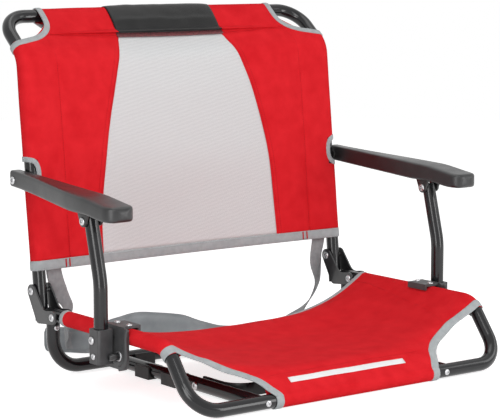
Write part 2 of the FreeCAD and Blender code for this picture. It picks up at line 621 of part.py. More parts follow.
# Hinge plates: an inner and an outer one on each side of rail and upright
PLATE_IN = "(%s + sizes.band_extra + sizes.plate_gap)" % CLOTH_OUT
PLATE_OUT = "(%s + sizes.plate_thickness)" % PLATE_IN
rail_below = -size("rail_drop")
hinge_rivets = []
rail_rivets = []
stop_barrels = []
for side, sign in SIDES:
    plates = []
    middle = "%d * %s" % (sign, HALF)
    for face, start in (("low", middle + " - " + PLATE_OUT), ("high", middle + " + " + PLATE_IN)):
        name = "hinge_plate_%s_%s" % (face, side)
        body = new_body(name, (start, "sizes.hinge_y", "sizes.hinge_height"))
        outline = new_sketch(body, name + "_outline", "YZ_Plane")
        disc_hull(outline, [(0, 0, size("plate_round")),
                            (-size("plate_hollow_setback"), -size("plate_hollow_drop"),
                             -size("plate_hollow")),
                            (-size("rail_rivet_setback"), rail_below, size("plate_toe")),
                            (stop_y, stop_z, size("plate_heel"))])
        running = size("pin_radius") + size("pin_clearance")
        add_circle(outline, (0, 0), running, RUNNING)
        add_circle(outline, (-size("rail_rivet_setback"), rail_below), running, RUNNING)
        pad(body, outline, "sizes.plate_thickness")
        plates.append(body)
    deliver("hinge_plates_" + side, group("hinge_plate_pair_" + side, plates))
    grip = "2 * " + PLATE_OUT
    hinge_rivets.append(rivet("hinge_rivet_" + side, grip,
                              (middle + " - " + PLATE_OUT, "sizes.hinge_y", "sizes.hinge_height"), "X"))
    rail_rivets.append(rivet("rail_rivet_" + side, grip,
                             (middle + " - " + PLATE_OUT, RAIL_RIVET_Y, RAIL_Z), "X"))
    stop_barrels.append(cylinder("stop_barrel_" + side, "sizes.stop_radius", "2 * " + PLATE_IN,
                                 (middle + " - " + PLATE_IN, STOP_Y, STOP_Z), "X"))
deliver("hinge_rivets", group("hinge_rivet_pair", hinge_rivets))
deliver("rail_rivets", group("rail_rivet_pair", rail_rivets))
deliver("stop_barrels", group("stop_barrel_pair", stop_barrels))

# Plugs in the rear ends of the seat rails
rail_plugs = []
for side, sign in SIDES:
    place = ("%d * %s" % (sign, HALF), RAIL_END_Y, RAIL_Z)
    inside = along(place, "-Y", "sizes.plug_depth")
    rail_plugs.append(fuse("rail_plug_" + side, [
        cylinder("rail_plug_cap_" + side, TUBE, "sizes.plug_flange", place, "Y"),
        cylinder("rail_plug_stem_" + side, BORE + " - sizes.plug_gap", "sizes.plug_depth", inside, "Y"),
    ]))
deliver("rail_end_plugs", group("rail_plug_pair", rail_plugs))

# Arm brackets: a plate beside the rail with a flange screwed down over the sleeve
BRACKET_IN = "(%s + sizes.bracket_gap)" % CLOTH_OUT
BRACKET_TOP = "(%s + %s + sizes.bracket_gap + sizes.bracket_wall)" % (RAIL_Z, CLOTH_OUT)
BRACKET_Y = "(sizes.hinge_y - sizes.bracket_front)"
bracket_top = rail_z + cloth_outer + size("bracket_gap") + size("bracket_wall")
bracket_low = rail_z - size("bracket_drop")
bracket_screws = []
post_bolts = []
stop_pins = []
SOCKET_OUT = "(%s + sizes.socket_gap + sizes.socket_wall)" % TUBE
STOP_PIN_Y = "(%s - sizes.post_shift - %s - sizes.stop_pin_gap - sizes.stop_pin_radius)" % (
    POST_Y, SOCKET_OUT)
for side, sign in SIDES:
    outward = "X" if sign > 0 else "-X"
    middle = "%d * %s" % (sign, HALF)
    plate_start = "(%s + %s)" % (HALF, BRACKET_IN)
    plate_low = plate_start if sign > 0 else "-(%s + sizes.bracket_wall)" % plate_start
    body = new_body("bracket_plate_" + side, (plate_low, BRACKET_Y, "0"))
    outline = new_sketch(body, "bracket_outline_" + side, "YZ_Plane")
    sketch_outline(outline, [(0, bracket_low), (size("bracket_length"), bracket_low),
                             (size("bracket_length"), bracket_top), (0, bracket_top)],
                   [size("bracket_corner")] * 4)
    pad(body, outline, "sizes.bracket_wall")
    flange_width = "2 * %s + sizes.bracket_wall" % BRACKET_IN
    flange_low = "%s - %s - (%d) * sizes.bracket_wall / 2" % (middle, BRACKET_IN, 1 - sign)
    flange = block("bracket_flange_" + side,
                   (flange_width, "sizes.bracket_length - 2 * sizes.bracket_corner", "sizes.bracket_wall"),
                   (flange_low, BRACKET_Y + " + sizes.bracket_corner", BRACKET_TOP + " - sizes.bracket_wall"))
    lip_low = "%s - %d * (%s + sizes.bracket_wall / 2) - sizes.bracket_wall / 2" % (middle, sign, BRACKET_IN)
    lip = block("bracket_lip_" + side,
                ("sizes.bracket_wall", "sizes.bracket_length - 2 * sizes.bracket_corner",
                 "sizes.bracket_wall + sizes.bracket_lip"),
                (lip_low, BRACKET_Y + " + sizes.bracket_corner",
                 BRACKET_TOP + " - sizes.bracket_wall - sizes.bracket_lip"))
    tools = [cylinder("bracket_bolt_hole_" + side, RUNNING, "4 * " + CLOTH_OUT,
                      ("%s - 2 * %s" % (middle, CLOTH_OUT), POST_Y, POST_Z), "X")]
    for place, screw_y in (("rear", BRACKET_Y + " + sizes.bracket_length - sizes.bracket_screw_inset"),
                           ("front", BRACKET_Y + " + sizes.bracket_screw_inset")):
        seat = (middle, screw_y, BRACKET_TOP)
        name = "bracket_screw_%s_%s" % (place, side)
        tools.append(cylinder(name + "_hole", "sizes.screw_radius + sizes.pin_clearance",
                              "3 * sizes.bracket_wall", along(seat, "-Z", "2 * sizes.bracket_wall"), "Z"))
        bracket_screws.append(small_screw(name, seat, "Z", "sizes.bracket_wall"))
    shell = fuse("bracket_shell_" + side, [body, flange, lip])
    deliver("arm_bracket_" + side, cut("bracket_" + side, shell, tools))
    # Bolt that the post turns on, with a shoulder between bracket and socket
    bolt_x = "(%s + sizes.head_gap)" % plate_start
    start = ("%d * %s" % (sign, bolt_x), POST_Y, POST_Z)
    reach = "(%s + %s + sizes.turning_gap - %s)" % (POST_X, SOCKET_OUT, bolt_x)
    shoulder = ("%d * (%s + sizes.bracket_wall)" % (sign, bolt_x), POST_Y, POST_Z)
    shoulder_length = "%s - %s - sizes.turning_gap - %s - sizes.bracket_wall" % (POST_X, SOCKET_OUT, bolt_x)
    post_bolts.append(fuse("post_bolt_" + side, [
        bolt("post_bolt_pin_" + side, reach, start, outward),
        cylinder("post_bolt_shoulder_" + side, "sizes.head_radius", shoulder_length, shoulder, outward),
    ]))
    pin_base = ("%d * (%s + sizes.bracket_wall)" % (sign, plate_start), STOP_PIN_Y,
                POST_Z + " - sizes.stop_pin_drop")
    stop_pins.append(cylinder("stop_pin_" + side, "sizes.stop_pin_radius", "sizes.stop_pin_reach",
                              pin_base, outward))
deliver("bracket_screws", group("bracket_screw_set", bracket_screws))
deliver("post_pivot_bolts", group("post_bolt_pair", post_bolts))
deliver("post_stop_pins", group("stop_pin_pair", stop_pins))

# Posts: bent tubes from the bracket up to the arm, each in a moulded socket
post_pivot_y = size("hinge_y") - size("post_setback")
post_y = post_pivot_y - size("post_shift")
post_top = Vector(post_pivot_y + size("link_length") * math.sin(lean),
                  post_pivot_z + size("link_length") * math.cos(lean), 0)
knee = Vector(post_y, post_pivot_z + size("post_knee_rise"), 0)
foot_z = post_pivot_z - size("post_foot_drop")
POST_FOOT = "(%s - sizes.post_foot_drop)" % POST_Z
socket_half = tube_radius + size("socket_gap") + size("socket_wall")
post_end = post_top + (post_top - knee).normalize() * size("post_head")
for side, sign in SIDES:
    post_x = "%d * %s" % (sign, POST_X)
    foot = (post_x, POST_Y + " - sizes.post_shift", POST_FOOT)
    tube = bent_tube("post_bent_" + side, foot, HALF_TURN, "YZ_Plane",
                     [(0, 0), (0, knee.y - foot_z), (post_y - post_end.x, post_end.y - foot_z)],
                     [(size("post_bend_radius"), "sizes.post_bend_radius")], "XY_Plane")
    across = post_x + " - 2 * sizes.tube_diameter"
    low_hole = cylinder("post_low_hole_" + side, RUNNING, "4 * sizes.tube_diameter",
                        (across, POST_Y, POST_Z), "X")
    top_hole = cylinder("post_top_hole_" + side, "sizes.pin_radius + sizes.open_pivot_clearance",
                        "4 * sizes.tube_diameter", (across, POST_TOP_Y, POST_TOP_Z), "X")
    outward = "X" if sign > 0 else "-X"
    screw_seat = ("%s + %d * %s" % (post_x, sign, SOCKET_OUT), POST_Y + " - sizes.post_shift",
                  POST_Z + " - sizes.socket_screw_drop")
    post_screw_hole = screw_hole("post_screw_hole_" + side, screw_seat, outward)
    deliver("post_tube_" + side, cut("post_" + side, tube, [low_hole, top_hole, post_screw_hole]))
    moulding = new_body("socket_outside_" + side, (post_x, foot[1], POST_FOOT + " - sizes.socket_floor"))
    outline = new_sketch(moulding, "socket_outline_" + side, "XY_Plane")
    sketch_outline(outline, [(-socket_half, -socket_half), (socket_half, -socket_half),
                             (socket_half, socket_half), (-socket_half, socket_half)],
                   [size("socket_corner")] * 4)
    pad(moulding, outline, "sizes.socket_height")
    hollow = cylinder("socket_hollow_" + side, TUBE + " + sizes.socket_gap", "sizes.socket_height",
                      (post_x, foot[1], POST_FOOT + " - sizes.socket_gap"), "Z")
    socket_hole = cylinder("socket_hole_" + side, RUNNING, "4 * sizes.tube_diameter",
                           (across, POST_Y, POST_Z), "X")
    socket_screw_hole = screw_hole("socket_screw_hole_" + side, screw_seat, outward)
    deliver("post_socket_" + side, cut("socket_" + side, moulding, [hollow, socket_hole, socket_screw_hole]))
    deliver("socket_screw_" + side, small_screw("socket_screw_whole_" + side, screw_seat, outward))

# Arms: a side outline and a plan outline, crossed, with two ears for the post
arm_bolt_y = size("link_length") * math.sin(lean)
arm_bolt_z = size("link_length") * math.cos(lean)
arm_under = post_top.y + size("arm_clear") - size("hinge_height")
arm_in = half_width + cloth_outer + size("arm_gap")
arm_out = arm_in + size("arm_width")
for side, sign in SIDES:
    arm_low = ARM_IN if sign > 0 else "-(%s + sizes.arm_width)" % ARM_IN
    profile_body = new_body("arm_profile_" + side, (arm_low, "sizes.hinge_y", "sizes.hinge_height"))
    profile = new_sketch(profile_body, "arm_profile_sketch_" + side, "YZ_Plane")
    lug = size("arm_lug_radius")
    front = -size("arm_reach")
    front_top = post_top.y + size("arm_front_rise") - size("hinge_height")
    front_bottom = post_top.y + size("arm_nose_rise") - size("hinge_height")
    waist = arm_bolt_z - size("arm_waist_drop")
    blend = size("arm_blend")
    sketch_outline(profile, [(arm_bolt_y + lug, arm_bolt_z + lug), (front, front_top), (front, front_bottom),
                             (-size("arm_belly_setback"), arm_under), (-size("arm_waist_setback"), waist),
                             (arm_bolt_y + lug, arm_bolt_z - lug)],
                   [size("arm_end_round"), size("arm_nose_round"), size("arm_nose_round"),
                    blend, blend, size("arm_end_round")])
    pad(profile_body, profile, "sizes.arm_width")
    plan_body = new_body("arm_plan_" + side, ("0", "sizes.hinge_y", "0"))
    plan = new_sketch(plan_body, "arm_plan_sketch_" + side, "XY_Plane")
    round_front = size("arm_width") / 2
    rear = arm_bolt_y + 2 * lug
    lug_out = arm_in + size("arm_lug_width")
    inner = [Vector(sign * arm_in, rear, 0), Vector(sign * arm_in, front + round_front, 0)]
    outer = [Vector(sign * arm_out, front + round_front, 0), Vector(sign * lug_out, -lug, 0),
             Vector(sign * lug_out, rear, 0)]
    plan.addGeometry(Part.LineSegment(inner[0], inner[1]))
    plan.addGeometry(Part.Arc(inner[1], Vector(sign * (arm_in + arm_out) / 2, front, 0), outer[0]))
    plan.addGeometry(Part.LineSegment(outer[0], outer[1]))
    plan.addGeometry(Part.LineSegment(outer[1], outer[2]))
    plan.addGeometry(Part.LineSegment(outer[2], inner[0]))
    pad(plan_body, plan, "2 * sizes.hinge_height + 2 * sizes.link_length")
    crossed = doc.addObject("Part::Common", "arm_crossed_" + side)
    crossed.Base = profile_body
    crossed.Tool = plan_body
    ears = []
    for face, offset in (("in", "-(%s + sizes.ear_gap + sizes.ear_thickness)" % TUBE),
                         ("out", "(%s + sizes.ear_gap)" % TUBE)):
        ear_x = "%d * %s + %s" % (sign, POST_X, offset)
        ears.append(cylinder("ear_round_%s_%s" % (face, side), "sizes.ear_radius", "sizes.ear_thickness",
                             (ear_x, POST_TOP_Y, POST_TOP_Z), "X"))
        ear_sizes = ("sizes.ear_thickness", "2 * sizes.ear_radius", "sizes.arm_clear + sizes.ear_radius")
        ears.append(block("ear_web_%s_%s" % (face, side), ear_sizes,
                          (ear_x, POST_TOP_Y + " - sizes.ear_radius", POST_TOP_Z)))
    whole = fuse("arm_whole_" + side, [crossed] + ears)
    ear_hole = cylinder("ear_hole_" + side, RUNNING, "4 * sizes.tube_diameter",
                        ("%d * %s - 2 * sizes.tube_diameter" % (sign, POST_X), POST_TOP_Y, POST_TOP_Z), "X")
    lug_hole = cylinder("lug_hole_" + side, RUNNING, "4 * sizes.tube_diameter",
                        ("%d * %s - 2 * sizes.tube_diameter" % (sign, ARM_IN), ARM_BOLT_Y, ARM_BOLT_Z), "X")
    deliver("armrest_" + side, cut("arm_" + side, whole, [ear_hole, lug_hole]))
    ear_half = "(%s + sizes.ear_gap + sizes.ear_thickness)" % TUBE
    bolt_start = ("%d * %s - %s - sizes.head_gap" % (sign, POST_X, ear_half), POST_TOP_Y, POST_TOP_Z)
    deliver("arm_post_bolt_" + side, rivet("arm_post_bolt_whole_" + side,
                                           "2 * %s + 2 * sizes.head_gap" % ear_half, bolt_start, "X"))

# Back frame: leaning uprights bent back at the top, and the bow that joins them
BACK_TURN = Rotation(Vector(1, 0, 0), -size("lean"))
bow_straight = size("bow_length") - size("bow_corner") - size("joint_length") / 2
arm_bolts = []
arm_spacers = []
upright_plugs = []
for side, sign in SIDES:
    middle = "%d * %s" % (sign, HALF)
    tail = (middle, "sizes.hinge_y - sizes.upright_tail * " + LEAN_SIN,
            "sizes.hinge_height - sizes.upright_tail * " + LEAN_COS)
    straight = size("upright_tail") + size("bow_start")
    tube = bent_tube("upright_tube_" + side, tail, BACK_TURN.multiply(HALF_TURN), "YZ_Plane",
                     [(0, 0), (0, straight),
                      (-bow_straight * math.sin(bow), straight + bow_straight * math.cos(bow))],
                     [(size("bow_bend"), "sizes.bow_bend")], "XY_Plane")
    across = middle + " - 2 * sizes.tube_diameter"
    fold_hole = cylinder("upright_fold_hole_" + side, RUNNING, "4 * sizes.tube_diameter",
                         (across, "sizes.hinge_y", "sizes.hinge_height"), "X")
    outward = "X" if sign > 0 else "-X"
    bolt_base = ("%s + %d * (%s - 3 * sizes.tube_wall)" % (middle, sign, TUBE), ARM_BOLT_Y, ARM_BOLT_Z)
    arm_hole = cylinder("upright_arm_hole_" + side, RUNNING, "sizes.tube_diameter", bolt_base, outward)
    deliver("upright_" + side, cut("upright_drilled_" + side, tube, [fold_hole, arm_hole]))
    bolt_length = "%s + sizes.arm_lug_width + 2 * sizes.head_gap - %s - %s + 3 * sizes.tube_wall" % (
        ARM_IN, HALF, TUBE)
    arm_bolts.append(bolt("arm_bolt_" + side, bolt_length, bolt_base, outward))
    spacer_base = ("%s + %d * (%s + sizes.weld_gap)" % (middle, sign, TUBE), ARM_BOLT_Y, ARM_BOLT_Z)
    spacer_length = "%s - %s - %s - sizes.weld_gap - sizes.spacer_gap" % (ARM_IN, HALF, TUBE)
    ring = cylinder("spacer_ring_" + side, "sizes.spacer_radius", spacer_length, spacer_base, outward)
    ring_hole = cylinder("spacer_hole_" + side, RUNNING, "sizes.tube_diameter", bolt_base, outward)
    arm_spacers.append(cut("arm_spacer_" + side, ring, [ring_hole]))
    plug = fuse("upright_plug_" + side, [
        cylinder("upright_plug_cap_" + side, TUBE, "sizes.plug_flange",
                 ("0", "0", "-sizes.plug_flange"), "Z"),
        cylinder("upright_plug_stem_" + side, BORE + " - sizes.plug_gap", "sizes.plug_depth",
                 ("0", "0", "0"), "Z"),
    ])
    plug.Placement = Placement(Vector(), BACK_TURN)
    for letter, formula in zip("xyz", tail):
        plug.setExpression("Placement.Base." + letter, formula)
    upright_plugs.append(plug)
deliver("arm_pivot_bolts", group("arm_bolt_pair", arm_bolts))
deliver("arm_spacers", group("arm_spacer_pair", arm_spacers))
deliver("upright_end_plugs", group("upright_plug_pair", upright_plugs))


bow_run = size("bow_corner") + size("joint_length") / 2
BOW_STRAIGHT = "(sizes.bow_length - sizes.bow_corner - sizes.joint_length / 2)"
BOW_LEAN = "((sizes.lean + sizes.bow_angle) * 1 deg)"
top_bow = bent_tube(
    "top_bow_tube",
    (HALF,
     "sizes.hinge_y + sizes.bow_start * %s + %s * sin%s" % (LEAN_SIN, BOW_STRAIGHT, BOW_LEAN),
     "sizes.hinge_height + sizes.bow_start * %s + %s * cos%s" % (LEAN_COS, BOW_STRAIGHT, BOW_LEAN)),
    Rotation(Vector(1, 0, 0), 90 - size("lean") - size("bow_angle")), "XY_Plane",
    [(0, 0), (0, bow_run), (-2 * half_width, bow_run), (-2 * half_width, 0)],
    [(size("bow_corner"), "sizes.bow_corner")] * 2, "XZ_Plane")
deliver("top_bow", top_bow)

# Back cover: cloth in front of the frame, over the top tube, and round the uprights
top_forward = -size("bow_length") * math.sin(bow)
top_up = size("bow_start") + size("bow_length") * math.cos(bow)


def cover_profile(inside, outside, low):
    """Side outline of the cloth, from its lower edge to behind the top tube."""
    def run(offset):
        ahead = Vector(0, -math.cos(bow), math.sin(bow))
        top = Vector(0, -top_forward, top_up)
        return [Vector(0, -offset, low),
                Vector(0, -offset, size("bow_start") + offset * math.tan(bow / 2)),
                top + ahead * offset,
                top + Vector(0, math.sin(bow), math.cos(bow)) * offset,
                top - ahead * offset]
    near = run(inside)
    far = run(outside)
    edges = [Part.LineSegment(near[0], near[1]), Part.LineSegment(near[1], near[2]),
             Part.Arc(near[2], near[3], near[4]), Part.LineSegment(near[4], far[4]),
             Part.Arc(far[4], far[3], far[2]), Part.LineSegment(far[2], far[1]),
             Part.LineSegment(far[1], far[0]), Part.LineSegment(far[0], near[0])]
    return Part.Face(Part.Wire([edge.toShape() for edge in edges]))


def cover_sheet(inside, outside, low):
    face = cover_profile(inside, outside, low)
    face.translate(Vector(-half_width, 0, 0))
    return face.extrude(Vector(2 * half_width, 0, 0))


def front_prism(edges):
    """Everything inside an outline seen from the front."""
    depth = 2 * size("bow_length")
    wire = Part.Wire([edge.toShape() for edge in edges])
    face = Part.Face(wire)
    face.translate(Vector(0, depth, 0))
    return face.extrude(Vector(0, -2 * depth, 0))


def seen(across, up):
    return Vector(across, 0, up)


def line(start, end):
    return Part.LineSegment(seen(*start), seen(*end))


def arc(start, middle, end):
    return Part.Arc(seen(*start), seen(*middle), seen(*end))


def sleeve(sign, low, high, inside, outside):
    ring = Part.makeCylinder(outside, high - low, Vector(sign * half_width, 0, low))
    return ring.cut(Part.makeCylinder(inside, high - low, Vector(sign * half_width, 0, low)))


def back_piece(label, shape):
    item = doc.addObject("Part::Feature", label + "_shape")
    item.Shape = shape
    item.Placement = Placement(Vector(0, size("hinge_y"), size("hinge_height")), BACK_TURN)
    deliver(label, item)


sheet_high = top_up + 2 * tube_radius
band_top = size("cover_bottom") + size("band_height")
panel_low = band_top + size("seam_gap")
tape_low = size("handle_bottom") - size("seam_gap") - size("tape_height")
mesh_high = tape_low - size("seam_gap")
seam = size("seam_gap")
mesh_mid = (panel_low + mesh_high) / 2
cloth = cover_sheet(cloth_inner, cloth_outer, panel_low)


def mesh_edge(sign, shift, low, high):
    """The curved seam beside the mesh, moved outward by shift."""
    return [(sign * (size("mesh_bottom_half") + shift), low),
            (sign * (size("mesh_mid_half") + shift), mesh_mid),
            (sign * (size("mesh_top_half") + shift), high)]


mesh_left = mesh_edge(-1, 0, panel_low, mesh_high)
mesh_right = mesh_edge(1, 0, panel_low, mesh_high)
mesh_outline = [line(mesh_left[0], mesh_right[0]), arc(*mesh_right),
                line(mesh_right[2], mesh_left[2]), arc(*reversed(mesh_left))]
back_piece("back_mesh", cloth.common(front_prism(mesh_outline)))
handle_half = size("handle_half")


def box_prism(start, end, low, high):
    """Everything inside a rectangle seen from the front."""
    return front_prism([line((start, low), (end, low)), line((end, low), (end, high)),
                        line((end, high), (start, high)), line((start, high), (start, low))])


tape_high = size("handle_bottom") - seam
back_piece("seam_tape", cloth.common(box_prism(-handle_half, handle_half, tape_low, tape_high)))
thick_cloth = cover_sheet(cloth_inner, cloth_outer + size("handle_extra"), panel_low)
handle_prism = box_prism(-handle_half, handle_half, size("handle_bottom"), sheet_high)
back_piece("handle_sleeve", thick_cloth.common(handle_prism))

notch_low = size("link_length") - size("notch_height") / 2
notch_high = size("link_length") + size("notch_height") / 2
trim_cloth = cover_sheet(cloth_inner, cloth_outer + size("band_extra"), panel_low)
corner_bindings = []
notch_bindings = []
for side, sign in SIDES:
    outer = half_width
    seam_line = mesh_edge(sign, seam, panel_low, mesh_high)
    top_x = sign * (half_width - size("corner_inset"))
    bend_x = sign * (half_width - size("corner_inset") / 2)
    dip = size("corner_dip")
    rise = dip + size("corner_rise")
    corner = [(sign * outer, size("side_top")), (bend_x, dip), (top_x, rise)]
    handle_edge = sign * (handle_half + seam)
    shoulder = (seam_line[2][0], mesh_high + seam)
    outline = [arc(*seam_line), line(seam_line[2], shoulder), line(shoulder, (handle_edge, shoulder[1])),
               line((handle_edge, shoulder[1]), (handle_edge, sheet_high)),
               line((handle_edge, sheet_high), (top_x, sheet_high)),
               line((top_x, sheet_high), corner[2]), arc(*reversed(corner)),
               line(corner[0], (sign * outer, panel_low)),
               line((sign * outer, panel_low), seam_line[0])]
    panel = cloth.common(front_prism(outline))
    tube_wrap = sleeve(sign, panel_low, size("sleeve_top"), cloth_inner, cloth_outer)
    notch_x = sign * (half_width + cloth_outer - size("notch_depth"))
    far_x = sign * (half_width + 2 * cloth_outer)
    wide = size("binding_width")
    notch_tool = box_prism(notch_x, far_x, notch_low, notch_high)
    edge_x = notch_x - sign * wide
    notch_frame = box_prism(edge_x, far_x, notch_low - wide, notch_high + wide)
    clear = box_prism(edge_x - sign * seam, far_x, notch_low - wide - seam, notch_high + wide + seam)
    trim_wrap = sleeve(sign, panel_low, size("sleeve_top"), cloth_inner, cloth_outer + size("band_extra"))
    trim = trim_wrap.fuse(trim_cloth.common(front_prism(outline)))
    notch_bindings.append(trim.common(notch_frame).cut(notch_tool))
    # The corner binding follows the cut and lies on the cloth's edge
    inner = [(sign * outer, size("side_top") - wide), (bend_x - sign * wide, dip - wide),
             (top_x - sign * wide, rise)]
    strip = front_prism([arc(*corner), line(corner[2], (top_x, sheet_high)),
                         line((top_x, sheet_high), (inner[2][0], sheet_high)),
                         line((inner[2][0], sheet_high), inner[2]), arc(*reversed(inner)),
                         line(inner[0], corner[0])])
    apart = wide + seam
    grown = [(sign * outer, size("side_top") - apart), (bend_x - sign * apart, dip - apart),
             (top_x - sign * apart, rise)]
    strip_clear = front_prism([arc(*corner), line(corner[2], (top_x, sheet_high)),
                               line((top_x, sheet_high), (grown[2][0], sheet_high)),
                               line((grown[2][0], sheet_high), grown[2]), arc(*reversed(grown)),
                               line(grown[0], corner[0])])
    corner_bindings.append(trim_cloth.common(strip))
    side_panel = panel.fuse(tube_wrap).cut(clear).cut(strip_clear)
    back_piece("back_panel_" + side, side_panel.removeSplitter())
back_piece("corner_bindings", Part.Compound(corner_bindings))
back_piece("notch_bindings", Part.Compound(notch_bindings))
band_out = cloth_outer + size("band_extra")
band = Part.makeBox(2 * half_width, band_out - cloth_inner, size("band_height"),
                    Vector(-half_width, -band_out, size("cover_bottom")))
for side, sign in SIDES:
    band = band.fuse(sleeve(sign, size("cover_bottom"), band_top, cloth_inner, band_out))
back_piece("back_bottom_band", band.removeSplitter())

# Seat sling: cloth sagging between the rail sleeves and down the sloping front
sling_x = half_width - (cloth_inner + cloth_outer) / 2
sling_z = rail_z - size("sling_edge_drop")
cloth_slope = math.radians(size("front_slope"))
ahead = Vector(0, -math.sin(cloth_slope), math.cos(cloth_slope))
downhill = Vector(0, -math.cos(cloth_slope), -math.sin(cloth_slope))
slope_foot = Vector(0, front_y, low_height) + ahead * (cloth_inner + cloth_outer) / 2
steep = 1 / math.cos(cloth_slope)


def slope_station(rise, inset, sag):
    """Cross-section of the cloth on the sloping front, at a rise above the bar."""
    spot = slope_foot - downhill * rise
    return (spot.y, half_width - inset, spot.z, sag, size("cloth") * steep)


hinge_y = size("hinge_y")
seat_middle = (size("sling_rear") + size("sling_front")) / 2
STATIONS = [
    (hinge_y - size("sling_rear"), sling_x, sling_z, size("sling_rear_sag"), size("cloth")),
    (hinge_y - seat_middle, sling_x, sling_z, size("sling_mid_sag"), size("cloth")),
    (hinge_y - size("sling_front"), sling_x, sling_z, size("sling_front_sag"),
     size("cloth") / math.cos(cloth_slope / 2)),
    slope_station(size("cut_upper_rise"), size("cut_upper_inset"), size("cut_upper_sag")),
    slope_station(size("cut_middle_rise"), size("cut_middle_inset"), size("cut_middle_sag")),
    slope_station(size("cut_lower_rise"), size("cut_lower_inset"), size("cut_lower_sag")),
    slope_station(0, size("front_cloth_inset"), size("hem_sag")),
]


def sag_section(y, half, height, sag, thickness):
    """Closed cross-section: an upper and a lower sagging arc joined at the edges."""
    ends = [Vector(-half, y, height), Vector(half, y, height)]
    low = Vector(0, y, height - sag)
    lift = Vector(0, 0, thickness / 2)
    upper = Part.Arc(ends[0] + lift, low + lift, ends[1] + lift).toShape()
    lower = Part.Arc(ends[1] - lift, low - lift, ends[0] - lift).toShape()
    right = Part.LineSegment(ends[1] + lift, ends[1] - lift).toShape()
    left = Part.LineSegment(ends[0] - lift, ends[0] + lift).toShape()
    return Part.Wire([upper, right, lower, left])


sling = Part.makeLoft([sag_section(*station) for station in STATIONS], True, True)
rail_sleeve_length = size("sling_front") - size("sling_rear")
for side, sign in SIDES:
    start = Vector(sign * half_width, hinge_y - size("sling_front"), rail_z)
    ring = Part.makeCylinder(cloth_outer, rail_sleeve_length, start, Vector(0, 1, 0))
    sling = sling.fuse(ring).cut(Part.makeCylinder(cloth_inner, rail_sleeve_length, start, Vector(0, 1, 0)))
front_half = half_width - size("front_cloth_inset")
bar_start = Vector(-front_half, front_y, low_height)
bar_length = 2 * front_half
wrap = Part.makeCylinder(cloth_outer, bar_length, bar_start, Vector(1, 0, 0))
sling = sling.fuse(wrap).cut(Part.makeCylinder(cloth_inner, bar_length, bar_start, Vector(1, 0, 0)))


def seat_piece(label, shape):
    item = doc.addObject("Part::Feature", label + "_shape")
    item.Shape = shape
    item.Placement = Placement()
    deliver(label, item)


seat_piece("seat_sling", sling.removeSplitter())
rear = STATIONS[0]
rear_half = rear[1] - size("rear_binding_inset")
rear_thick = rear[4] + 2 * size("band_extra")
rear_face = Part.Face(sag_section(rear[0] + seam, rear_half, rear[2], rear[3], rear_thick))
seat_piece("seat_rear_binding", rear_face.extrude(Vector(0, size("rear_binding"), 0)))

# Bindings of the two cut corners at the seat's front
seat_corners = []
for side, sign in SIDES:
    rims = []
    lower_end = slope_station(size("corner_binding_end"),
                              size("front_cloth_inset") - size("corner_binding_flare"), 0)
    for y, half, height, sag, thickness in STATIONS[3:-1] + [lower_end]:
        near = sign * (half + 2 * seam)
        far = sign * (half + 2 * seam + size("corner_binding"))
        thick = thickness / 2 + size("band_extra")
        corners = [Vector(near, y, height - thick), Vector(far, y, height - thick),
                   Vector(far, y, height + thick), Vector(near, y, height + thick)]
        rims.append(Part.makePolygon(corners + corners[:1]))
    seat_corners.append(Part.makeLoft(rims, True, True))
seat_piece("seat_corner_bindings", Part.Compound(seat_corners))

# Bare white strip sewn on the sloping front
label = doc.addObject("Part::Box", "label_strip")
label.setExpression("Length", "sizes.label_length")
label.setExpression("Width", "sizes.label_width")
label.setExpression("Height", "sizes.label_thickness")
strip_place = Vector(-size("label_length") / 2 - size("label_shift"), front_y, low_height) \
    - downhill * size("label_rise") + ahead * (cloth_outer + seam)
label.Placement = Placement(strip_place, Rotation(Vector(1, 0, 0), size("front_slope")))
deliver("seat_label", label)

# Shoulder strap: webbing from behind the back's lower band down to a pad on the floor
web_half = size("webbing_width") / 2
web_thick = size("webbing_thickness")
web_x = half_width - size("webbing_inset")
pad_middle = size("pad_lift") + size("pad_height") / 2
pad_corners = [Vector(42 - web_x, 121, 0), Vector(101 - web_x, 62, 0), Vector(-32, 108, 0),
               Vector(18, 38, 0), Vector(web_x - 47, 51, 0)]
left_end = pad_corners[0] - (pad_corners[1] - pad_corners[0]).normalize() * 1.5 * seam
right_end = pad_corners[-1] + (pad_corners[-1] - pad_corners[-2]).normalize() * 1.5 * seam


def web_section(place, width, travel):
    """Cross-section of the webbing: its place, the way its width runs and the way it travels."""
    wide = width.normalize() * web_half
    thick = width.cross(travel).normalize() * (web_thick / 2)
    corners = [place - wide - thick, place + wide - thick, place + wide + thick, place - wide + thick]
    return Part.makePolygon(corners + corners[:1])


def webbing(stations):
    places = [Vector(x, hinge_y + y, z) for x, y, z, width in stations]
    sections = []
    for i, (x, y, z, width) in enumerate(stations):
        before = places[max(i - 1, 0)]
        after = places[min(i + 1, len(places) - 1)]
        sections.append(web_section(places[i], Vector(*width), after - before))
    return Part.makeLoft(sections, True, True)


